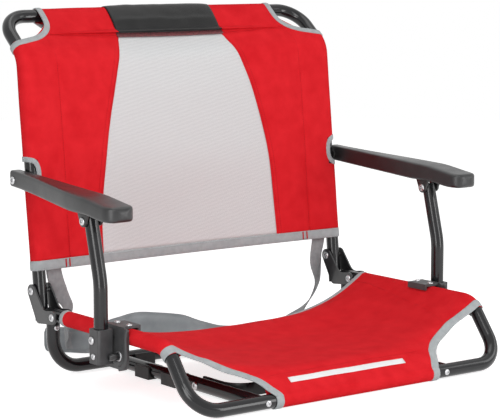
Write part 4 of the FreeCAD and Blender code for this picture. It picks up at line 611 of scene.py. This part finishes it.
bm = bmesh.new()
for sign in both_sides:
    stitch_row(bm, on_back([(sign * 217, 44 + 6 * i) for i in range(50)], 0.1), 3.4, 2.6, 0.7)
    for shift in (3, 8):
        seam_line = [(sign * (mesh_half(44 + 6 * i) + shift), 44 + 6 * i) for i in range(50)]
        stitch_row(bm, on_back(seam_line, 0.7), 3.4, 2.6, 0.7)
    stitch_row(bm, on_back([(sign * (100 + 5 * i), 360) for i in range(24)], 0.1), 3.4, 2.6, 0.7)
back_stitches = keep_piece("back_stitches", bm, red_thread, "back_frame", "red_cloth")

# Back mesh: an open knit of pale polyester, stretched between the panels and a little behind them.
# Its fine holes stand in slanted rows.
mesh_finish, mesh_tree, mesh_shader = new_finish("pale_mesh", (0.66, 0.65, 0.65), 0.75)
mesh_shader.inputs["Sheen Weight"].default_value = 0.15
mesh_spot = add_node(mesh_tree, "UVMap")
mesh_turn = add_node(mesh_tree, "Mapping", Rotation=(0, 0, math.radians(32)))
mesh_tree.links.new(mesh_spot.outputs[0], mesh_turn.inputs["Vector"])
mesh_holes = add_node(mesh_tree, "TexVoronoi", Scale=620.0, Randomness=0.12)
mesh_tree.links.new(mesh_turn.outputs[0], mesh_holes.inputs["Vector"])
mesh_tones = add_node(mesh_tree, "ValToRGB")
mesh_tones.color_ramp.elements[0].position = 0.12
mesh_tones.color_ramp.elements[0].color = (0.36, 0.36, 0.365, 1)
mesh_tones.color_ramp.elements[1].position = 0.42
mesh_tones.color_ramp.elements[1].color = (0.72, 0.722, 0.727, 1)
mesh_tree.links.new(mesh_holes.outputs["Distance"], mesh_tones.inputs[0])
mesh_bands = add_node(mesh_tree, "TexWave", Scale=0.314 / 0.0055, Distortion=1.5, Detail=1.0)
mesh_slant = add_node(mesh_tree, "Mapping", Rotation=(0, 0, math.radians(77)))
mesh_tree.links.new(mesh_spot.outputs[0], mesh_slant.inputs["Vector"])
mesh_tree.links.new(mesh_slant.outputs[0], mesh_bands.inputs["Vector"])
mesh_shade = add_node(mesh_tree, "MixRGB", Fac=0.06)
mesh_shade.blend_type = "MULTIPLY"
mesh_tree.links.new(mesh_tones.outputs[0], mesh_shade.inputs["Color1"])
mesh_tree.links.new(mesh_bands.outputs["Color"], mesh_shade.inputs["Color2"])
mesh_tree.links.new(mesh_shade.outputs[0], mesh_shader.inputs["Base Color"])
relief(mesh_tree, mesh_shader, mesh_holes.outputs["Distance"], 0.0003)


def mesh_place(across, up):
    wave = 0.5 * noise.noise(Vector((across / 70, up / 70, 11)))
    return back_place(across, up, -0.9 + wave)


bm = bmesh.new()
mapped_grid(bm, 60, 70, lambda u, v: (
    (2 * u - 1) * (mesh_half(cover_foot + 318 * v) + 2), cover_foot + 318 * v), mesh_place)
back_mesh = keep_piece("back_mesh_cloth", bm, mesh_finish, "back_frame", "mesh_cloth", "back_mesh")
thicken(back_mesh, 0.8)

# Handle sleeve: black padded cloth round the middle of the top tube, so that it serves as a grip.
# A flecked woven tape is sewn along its lower edge.
black_cloth = cloth_finish("black_grip_cloth", (0.005, 0.005, 0.005), (0.009, 0.009, 0.009),
                           1.1, 0.1, 0.36, 0.0)
black_cloth.node_tree.nodes["Principled BSDF"].inputs["Specular IOR Level"].default_value = 0.28
handle_half = 93


def handle_place(across, up):
    full = 1 - (abs(across) / handle_half) ** 8
    swell = 1.6 * smoothstep((up - 366) / 16) * (1 - smoothstep((up - 452) / 30)) * full
    swell += 1.1 * math.exp(-((up - 384 - 3 * noise.noise(Vector((across / 60, 2, 8)))) / 4.5) ** 2) * full
    crease = 0.6 * noise.noise(Vector((across / 22, up / 16, 5))) * full
    return back_place(across, up, 1.0 + swell + crease)


bm = bmesh.new()
mapped_grid(bm, 60, 60, lambda u, v: (handle_half * (2 * u - 1), 364 + 124 * v), handle_place)
handle = keep_piece("grip_sleeve", bm, black_cloth, "back_frame", "handle_cloth", "handle_sleeve")
thicken(handle, 1.4)
tape_finish, tape_tree, tape_shader = new_finish("flecked_tape", (0.12, 0.03, 0.035), 0.7)
tape_spot = add_node(tape_tree, "UVMap")
tape_stretch = add_node(tape_tree, "Mapping", Scale=(1, 2.2, 1))
tape_tree.links.new(tape_spot.outputs[0], tape_stretch.inputs["Vector"])
tape_flecks = add_node(tape_tree, "TexVoronoi", Scale=420.0)
tape_tree.links.new(tape_stretch.outputs[0], tape_flecks.inputs["Vector"])
tape_tones = add_node(tape_tree, "ValToRGB")
tape_tones.color_ramp.elements[0].position = 0.25
tape_tones.color_ramp.elements[0].color = (0.03, 0.014, 0.015, 1)
tape_tones.color_ramp.elements[1].position = 0.6
tape_tones.color_ramp.elements[1].color = (0.2, 0.05, 0.055, 1)
tape_tree.links.new(tape_flecks.outputs["Distance"], tape_tones.inputs[0])
tape_tree.links.new(tape_tones.outputs[0], tape_shader.inputs["Base Color"])
relief(tape_tree, tape_shader, tape_flecks.outputs["Distance"], 0.0003)
bm = bmesh.new()
ribbon(bm, on_back([(-95 + 5 * i, 361) for i in range(39)], 0.9), 9.5, 1.8)
tape = keep_piece("woven_tape", bm, tape_finish, "back_frame", "tape", "seam_tape")

# Grey bindings of the back: a folded band along the lower edge, and ribbed tape round the arm
# cuts and the cut corners. They are sewn over the edges of the cloth.
binding_finish, binding_tree, binding_shader = new_finish("grey_ribbed_tape", (0.37, 0.385, 0.395), 0.7)
binding_shader.inputs["Sheen Weight"].default_value = 0.2
binding_spot = add_node(binding_tree, "UVMap")
binding_ribs = add_node(binding_tree, "TexWave", Scale=0.314 / 0.0011, Distortion=0.4)
binding_ribs.bands_direction = "Y"
binding_tree.links.new(binding_spot.outputs[0], binding_ribs.inputs["Vector"])
relief(binding_tree, binding_shader, strength_of(binding_ribs), 0.0002)
mottle(binding_tree, binding_shader, object_noise(binding_tree, 120),
       (0.335, 0.36, 0.37), (0.405, 0.43, 0.44))
grey_thread = coat("grey_thread", (0.3, 0.31, 0.32), 0.6, (300, (0.25, 0.26, 0.27), (0.36, 0.37, 0.38)))[0]
bm = bmesh.new()
band_path = [(-347 + 80 * i / 14, 35) for i in range(14)] + [(-267 + 534 * i / 80, 35) for i in range(81)]
band_path += [(267 + 80 * (i + 1) / 14, 35) for i in range(14)]
ribbon(bm, on_back(band_path, 0.4), 14, 2.2)
band = keep_piece("lower_band", bm, binding_finish, "back_frame", "grey_binding", "back_bottom_band")
bm = bmesh.new()
for sign in both_sides:
    cut_line = [(314, 343), (299, 343), (284, 343), (272, 343.2), (262, 344.5), (250, 347.5), (237, 352),
                (223.5, 359.5), (213, 369), (207, 380), (205.5, 393), (205.5, 408), (205.5, 424), (205.5, 441),
                (205.5, 458), (205.5, 474)]
    cut_path = smooth_points([(sign * a, b, 0) for a, b in cut_line], 4)
    ribbon(bm, on_back([(point.x, point.y) for point in cut_path], 0.5), 9, 2.4)
corner_trim = keep_piece("corner_trim", bm, binding_finish, "back_frame", "grey_binding", "corner_bindings")
bm = bmesh.new()
for sign in both_sides:
    notch_line = [(330, 185), (310, 185), (292, 185), (279, 184.5), (268, 181.5), (262.5, 174), (261, 163),
                  (262.5, 153.5), (268, 146.5), (279, 144), (292, 143.5), (310, 143.5), (330, 143.5)]
    notch_path = smooth_points([(sign * a, b, 0) for a, b in notch_line], 4)
    ribbon(bm, on_back([(point.x, point.y) for point in notch_path], 0.5), 7.5, 2.4)
notch_trim = keep_piece("arm_cut_trim", bm, binding_finish, "back_frame", "grey_binding", "notch_bindings")
bm = bmesh.new()
for across in (-226, -219.5, 204, 211):
    ribbon(bm, on_back([(across, 29.5), (across, 33), (across, 37), (across, 41)], 1.6), 2.0, 1.2)
bar_tacks = keep_piece("bar_tacks", bm, red_thread, "back_frame", "red_cloth")
bm = bmesh.new()
for up in (31, 40):
    stitch_row(bm, on_back([(-264 + 6 * i, up) for i in range(89)], 1.45), 3.4, 2.4, 0.6)
band_stitches = keep_piece("band_stitches", bm, grey_thread, "back_frame", "grey_binding")

# Seat sling: one sheet of red cloth that hangs between the rails and runs down over the front bar.
# Its sides are sleeves round the rails, and its front corners are cut away in a curve.


def smooth_value(points, value):
    """A smooth curve through points of value and result, read at a value."""
    slopes = []
    for i in range(len(points)):
        first, last = points[max(i - 1, 0)], points[min(i + 1, len(points) - 1)]
        slopes.append((last[1] - first[1]) / (last[0] - first[0]))
    for i in range(len(points) - 1):
        (x0, y0), (x1, y1) = points[i], points[i + 1]
        if value <= x1 or i == len(points) - 2:
            width = x1 - x0
            t = (value - x0) / width
            return ((1 + 2 * t) * (1 - t) ** 2 * y0 + t * (1 - t) ** 2 * width * slopes[i]
                    + t * t * (3 - 2 * t) * y1 + t * t * (t - 1) * width * slopes[i + 1])


sling_rear, hem_y, cut_start, sling_edge = 61.3, -249.4, 142, 260.8
bar_y, bar_z = -243.2, 11.5
sling_cut = [(cut_start, hem_y), (148, -240), (155.5, -228), (172, -214), (193, -205), (218, -200),
             (sling_edge, -199)]


def sling_front(x):
    """How far forward the cloth reaches."""
    if abs(x) <= cut_start:
        return hem_y
    return smooth_value(sling_cut, min(abs(x), sling_edge))


def sling_height(x, y):
    """Height of the cloth between the rails."""
    level = 43.5 + 10 * smoothstep((y + 70) / 90) - 11 * smoothstep((y - 20) / 41)
    slope = 19.8 + (y - hem_y) * math.tan(math.radians(37))
    mix = max(14 - abs(level - slope), 0) / 14
    middle = min(level, slope) - mix * mix * 14 / 4
    edge = 48 + math.sqrt(48.62 ** 2 - min(max(-164.6 - y, 0), 40) ** 2)
    share = abs(x) / sling_edge
    fade = 1 - smoothstep((-y - 188 - 30 * share ** 8) / 34)
    return middle + (edge - middle) * share ** 3.4 * fade


def sling_ripple(x, y):
    wave = 0.8 * noise.noise(Vector((x / 60, y / 75, 2)))
    path = smooth_value([(-210, 198), (-130, 224), (-55, 236), (10, 246)], min(max(y, -210), 10))
    seam = abs(x) - path
    groove = 0.9 * math.exp(-((seam - 6) / 5) ** 2) - 1.2 * math.exp(-(seam / 2.2) ** 2)
    crease = groove * smoothstep((40 - y) / 60) * smoothstep((y + 212) / 30)
    hem = -0.8 * math.exp(-((y + 219.8) / 2.0) ** 2) if abs(x) < 137 else 0
    pucker = 0.7 * noise.noise(Vector((x / 7, y / 14, 9))) * math.exp(-((y + 219) / 7) ** 2)
    pucker += 0.35 * noise.noise(Vector((x / 14, y / 6, 5))) * math.exp(-(seam / 7) ** 2)
    still = smoothstep((y - hem_y) / 14) * (1 - min(abs(x) / sling_edge, 1) ** 12)
    return (wave + crease + hem + pucker) * still


def sling_place(x, y):
    return Vector((x, y, sling_height(x, y) + sling_ripple(x, y)))


def rail_ring(sign, turn, y, lift=0.0):
    """A point of a rail sleeve: a turn from the top outwards, where the cloth leaves it at y."""
    radius = sleeve + lift
    bend = math.asin(min(max(-164.6 - y, 0), 48) / 48.62)
    axis = Vector((sign * frame_half, y, 88))
    if bend > 0:
        axis = Vector((sign * frame_half, -164.6 - 40 * math.sin(bend), 48 + 40 * math.cos(bend)))
    out_way = Vector((sign, 0, 0)) * math.sin(turn) * radius
    up_way = Vector((0, -math.sin(bend), math.cos(bend))) * math.cos(turn) * radius
    return axis + out_way + up_way


def sleeve_place(sign, around, y):
    """The sleeve's cloth: round the rail, then back under the sheet to its seam."""
    leave, meet = math.radians(-33.6), math.radians(214)
    if around <= 44.7:
        return rail_ring(sign, leave + (meet - leave) * around / 44.7, y)
    seam = Vector((sign * 240, max(y, -186), sling_height(240, max(y, -186)) - 1.8))
    return rail_ring(sign, meet, y).lerp(seam, (around - 44.7) / 22)


def hem_place(x, around):
    """The hem's cloth: round the front bar, then back under the slope to its seam."""
    leave, meet = math.radians(37), math.radians(262)
    if around <= 40.6:
        turn = leave + (meet - leave) * around / 40.6
        return Vector((x, bar_y - sleeve * math.sin(turn), bar_z + sleeve * math.cos(turn)))
    last = Vector((x, bar_y - sleeve * math.sin(meet), bar_z + sleeve * math.cos(meet)))
    seam = Vector((x, -222, sling_height(x, -222) - 1.8))
    return last.lerp(seam, (around - 40.6) / 30)


bm = bmesh.new()
mapped_grid(bm, 60, 84, lambda u, v: (
    cut_start * (2 * u - 1), sling_rear + (hem_y - sling_rear) * v), sling_place)
for sign in both_sides:
    mapped_grid(bm, 34, 84, lambda u, v: (
        sign * (cut_start + 118.8 * u ** 1.4),
        sling_rear + (sling_front(cut_start + 118.8 * u ** 1.4) - sling_rear) * v), sling_place)
    mapped_grid(bm, 30, 84, lambda u, v: (66.7 * u, sling_rear + (sling_front(sling_edge) - sling_rear) * v),
                lambda around, y: sleeve_place(sign, around, y))
mapped_grid(bm, 60, 26, lambda u, v: (cut_start * (2 * u - 1), 70.6 * v), hem_place)
bmesh.ops.remove_doubles(bm, verts=bm.verts, dist=0.0001)
sling = keep_piece("sling_cloth", bm, red_cloth, "seat_frame", "red_cloth", "seat_sling")
thicken(sling, 1.1)


def on_sling(points, lift):
    """Places on the seat cloth and the ways its face looks, for a line of points."""
    line = []
    for x, y in points:
        side_way = sling_place(x + 1, y) - sling_place(x - 1, y)
        long_way = sling_place(x, y + 1) - sling_place(x, y - 1)
        face = side_way.cross(long_way).normalized()
        line.append((sling_place(x, y) + face * lift, face))
    return line


def on_rail(sign, turns, y, lift):
    """Places round a rail sleeve and the ways its face looks."""
    line = []
    for turn in turns:
        place = rail_ring(sign, math.radians(turn), y, lift)
        line.append((place, (rail_ring(sign, math.radians(turn), y, lift + 1) - place).normalized()))
    return line


def on_bar(x, turns, lift):
    """Places round the front bar's hem and the ways its face looks."""
    line = []
    for turn in turns:
        face = Vector((0, -math.sin(math.radians(turn)), math.cos(math.radians(turn))))
        line.append((Vector((x, bar_y, bar_z)) + face * (sleeve + lift), face))
    return line


bm = bmesh.new()
left_ring = on_rail(-1, [220 - 23 * i for i in range(11)], 57.3, 0.2)
right_ring = on_rail(1, [-10 + 23 * i for i in range(11)], 57.3, 0.2)
ribbon(bm, left_ring + on_sling([(-256 + 8 * i, 57.3) for i in range(65)], 0.2) + right_ring, 8.5, 2.4)
rear_trim = keep_piece("seat_rear_trim", bm, binding_finish, "seat_frame", "grey_binding", "seat_rear_binding")
bm = bmesh.new()
inset = 3.6
for sign in both_sides:
    ring = on_rail(sign, [220 - 23 * i for i in range(11)], -194.5, 0.2)
    edge = []
    for x in (255, 247, 236, 224, 212, 200, 188, 178, 169, 161, 155.5, 151, 147):
        slope = (sling_front(x + 1) - sling_front(x - 1)) / 2
        tilt = math.sqrt(1 + slope * slope)
        edge.append((sign * (x - inset * slope / tilt), sling_front(x) + inset / tilt))
    hem = on_bar(sign * 136.5, [37 + 20 * i for i in range(11)], 0.1)
    line = ring + on_sling(edge, 0.2) + hem
    smooth_line = smooth_points([place for place, face in line], 3)
    smooth_faces = smooth_points([face for place, face in line], 3)
    ribbon(bm, list(zip(smooth_line, smooth_faces)), 12, 2.2)
cut_trim = keep_piece("seat_cut_trim", bm, binding_finish, "seat_frame", "grey_binding", "seat_corner_bindings")
bm = bmesh.new()
stitch_row(bm, on_sling([(-132 + 6 * i, -219.8) for i in range(45)], 0.5), 3.4, 2.6, 0.7)
for sign in both_sides:
    seam_points = [(246, 50), (244, 10), (236, -55), (224, -130), (207, -188)]
    seam_path = smooth_points([(sign * x, y, 0) for x, y in seam_points], 10)
    stitch_row(bm, on_sling([(point.x, point.y) for point in seam_path], 0.6), 3.4, 2.6, 0.7)
sling_stitches = keep_piece("sling_stitches", bm, red_thread, "seat_frame", "red_cloth")

# White strip: a bare woven ribbon sewn flat on the slope of the seat's front.
# The thin thread along both of its edges is not drawn.
strip_finish = cloth_finish("white_ribbon", (0.86, 0.86, 0.86), (0.92, 0.92, 0.92), 0.6, 0.08, 0.65, 0.05)
bm = bmesh.new()
ribbon(bm, on_sling([(-107 + 5 * i, -233) for i in range(41)], 1.0), 9.4, 0.9)
strip = keep_piece("white_strip", bm, strip_finish, "seat_frame", "white_strip", "seat_label")

# Shoulder strap: flat grey webbing sewn behind the back's lower band on both sides, which runs
# down behind the seat to the padded band on the floor.
webbing_finish, webbing_tree, webbing_shader = new_finish("grey_webbing", (0.3, 0.3, 0.31), 0.7)
webbing_shader.inputs["Sheen Weight"].default_value = 0.2
webbing_spot = add_node(webbing_tree, "UVMap")
webbing_ribs = add_node(webbing_tree, "TexWave", Scale=0.314 / 0.0016, Distortion=0.5)
webbing_ribs.bands_direction = "Y"
webbing_tree.links.new(webbing_spot.outputs[0], webbing_ribs.inputs["Vector"])
relief(webbing_tree, webbing_shader, strength_of(webbing_ribs), 0.0003)
mottle(webbing_tree, webbing_shader, object_noise(webbing_tree, 150),
       (0.265, 0.27, 0.28), (0.335, 0.34, 0.35))
web_paths = {
    "left": [((-241, 133, 159.5), (1, 0, 0)), ((-241, 133.5, 142), (1, 0, 0)), ((-235, 135, 122), (1, 0, 0)),
             ((-229, 137, 110), (1, 0.05, 0)), ((-219.5, 139.5, 98), (0.92, 0.39, 0)),
             ((-211.5, 143, 83), (0.88, 0.47, 0)), ((-205, 152, 64), (0.6, 0.6, 0.5)),
             ((-197, 171, 46), (0.1, 0.35, 0.9)), ((-185, 196, 31), (0, 0.1, 1)), ((-174, 211, 22), (0, 0, 1)),
             ((-168, 214.5, 19.5), (0, 0, 1)), ((-158, 207, 19.5), (0, 0, 1))],
    "right": [((239, 133, 159.5), (1, 0, 0)), ((239, 133.5, 142), (1, 0, 0)), ((236, 135, 120), (1, 0.1, 0)),
              ((237, 136, 106), (1, 0.15, 0)), ((244, 140, 83), (0.86, 0.5, 0)),
              ((246, 146, 67), (0.8, 0.6, 0)), ((243, 156, 47), (0.78, 0.6, 0.15)),
              ((234, 166, 29), (0.7, 0.6, 0.38)), ((220, 173, 16), (0.4, 0.8, 0.45)),
              ((205, 178, 8.5), (0.1, 0.95, 0.25)), ((188, 180.5, 7), (0, 0.98, 0.15))]}
for side, stations in web_paths.items():
    places = smooth_points([place for place, width in stations], 8)
    widths = smooth_points([width for place, width in stations], 8)
    line = []
    for i, place in enumerate(places):
        way = places[min(i + 1, len(places) - 1)] - places[max(i - 1, 0)]
        line.append((place, widths[i].cross(way).normalized()))
    bm = bmesh.new()
    ribbon(bm, line, 25, 1.8)
    webbing = keep_piece("webbing_" + side, bm, webbing_finish, None, "webbing", "strap_webbing_" + side)
    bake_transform(webbing)

# Shoulder pad: a foam band in grey cloth with a sewn line along each edge. On the left it stands
# on its edge, and it leans over to lie flat on the right. It thins out towards its rim.
pad_cloth = cloth_finish("grey_pad_cloth", (0.31, 0.335, 0.35), (0.39, 0.415, 0.43), 1.0, 0.12, 0.75, 0.05)
pad_line = [(-190, 247), (-166, 221), (-138, 196), (-85, 214), (-36, 232), (-12, 205), (14, 173), (60, 171),
            (120, 175), (192, 180.3)]
pad_route = smooth_points([(x, y, 19.5) for x, y in pad_line], 10)


def pad_place(angle, run):
    """A point of the pad: an angle round its section and a share of its length."""
    spot = run * (len(pad_route) - 1)
    row = min(int(spot), len(pad_route) - 2)
    place = pad_route[row].lerp(pad_route[row + 1], spot - row)
    way = (pad_route[min(row + 3, len(pad_route) - 1)] - pad_route[max(row - 2, 0)]).normalized()
    across = Vector((-way.y, way.x, 0))
    end = end_share(min(run, 1 - run) * 480, 14, 2.2)
    half = 18.9 + 3 * smoothstep((place.x + 150) / 60) * (1 - smoothstep(place.x / 60))
    lift = math.copysign(abs(math.sin(angle)) ** 0.75, math.sin(angle)) * half * (0.55 + 0.45 * end)
    seam = 1 - 0.4 * math.exp(-((abs(lift) - half + 4.4) / 1.6) ** 2)
    thick = math.copysign(abs(math.cos(angle)) ** 0.8, math.cos(angle)) * 5.2 * seam * max(end, 0.15)
    thick *= 1 + 0.12 * noise.noise(Vector((run * 14, lift / 14, 4)))
    fall = math.radians(84) * smoothstep((place.x + 50) / 170)
    upright = Vector((0, 0, math.cos(fall))) + across * math.sin(fall)
    outward = across * math.cos(fall) - Vector((0, 0, math.sin(fall)))
    centre = Vector((place.x, place.y, 0.7 + half * math.cos(fall) + 5.4 * math.sin(fall)))
    return centre + outward * thick + upright * lift


bm = bmesh.new()
mapped_grid(bm, 40, 150, lambda u, v: (u * 2 * math.pi, v), pad_place)
bmesh.ops.remove_doubles(bm, verts=bm.verts, dist=0.00002)
bmesh.ops.holes_fill(bm, edges=[edge for edge in bm.edges if edge.is_boundary])
pad = keep_piece("shoulder_pad", bm, pad_cloth, "seat_frame", "strap_pad", "strap_pad")
bm = bmesh.new()
for turn in (2.3, 4.0):
    shares = [0.04 + 0.012 * i for i in range(76)]
    seam_line = [pad_place(turn, share) for share in shares]
    faces = [pad_place(turn, share) - pad_place(turn + math.pi, share) for share in shares]
    stitch_row(bm, list(zip(seam_line, faces)), 3.4, 2.6, 0.8)
keep_piece("pad_stitches", bm, grey_thread, "seat_frame", "strap_pad")

# Bench hook and feet: a bent flat bar in black enamel that turns on two screws, and black rubber
# clips pressed over the lower tubes.
hook_coat = coat("hook_enamel", (0.014, 0.014, 0.015), 0.3, (80, (0.011, 0.011, 0.012), (0.02, 0.02, 0.021)),
                 (30, 0.22, 0.4), (800, 0.00005))[0]
dress(hook_coat, "bench_hook")
ease_edges(0.7, "bench_hook")
dress(rubber, "rail_feet", "rear_bar_feet")
ease_edges(2.5, "rail_feet", "rear_bar_feet")
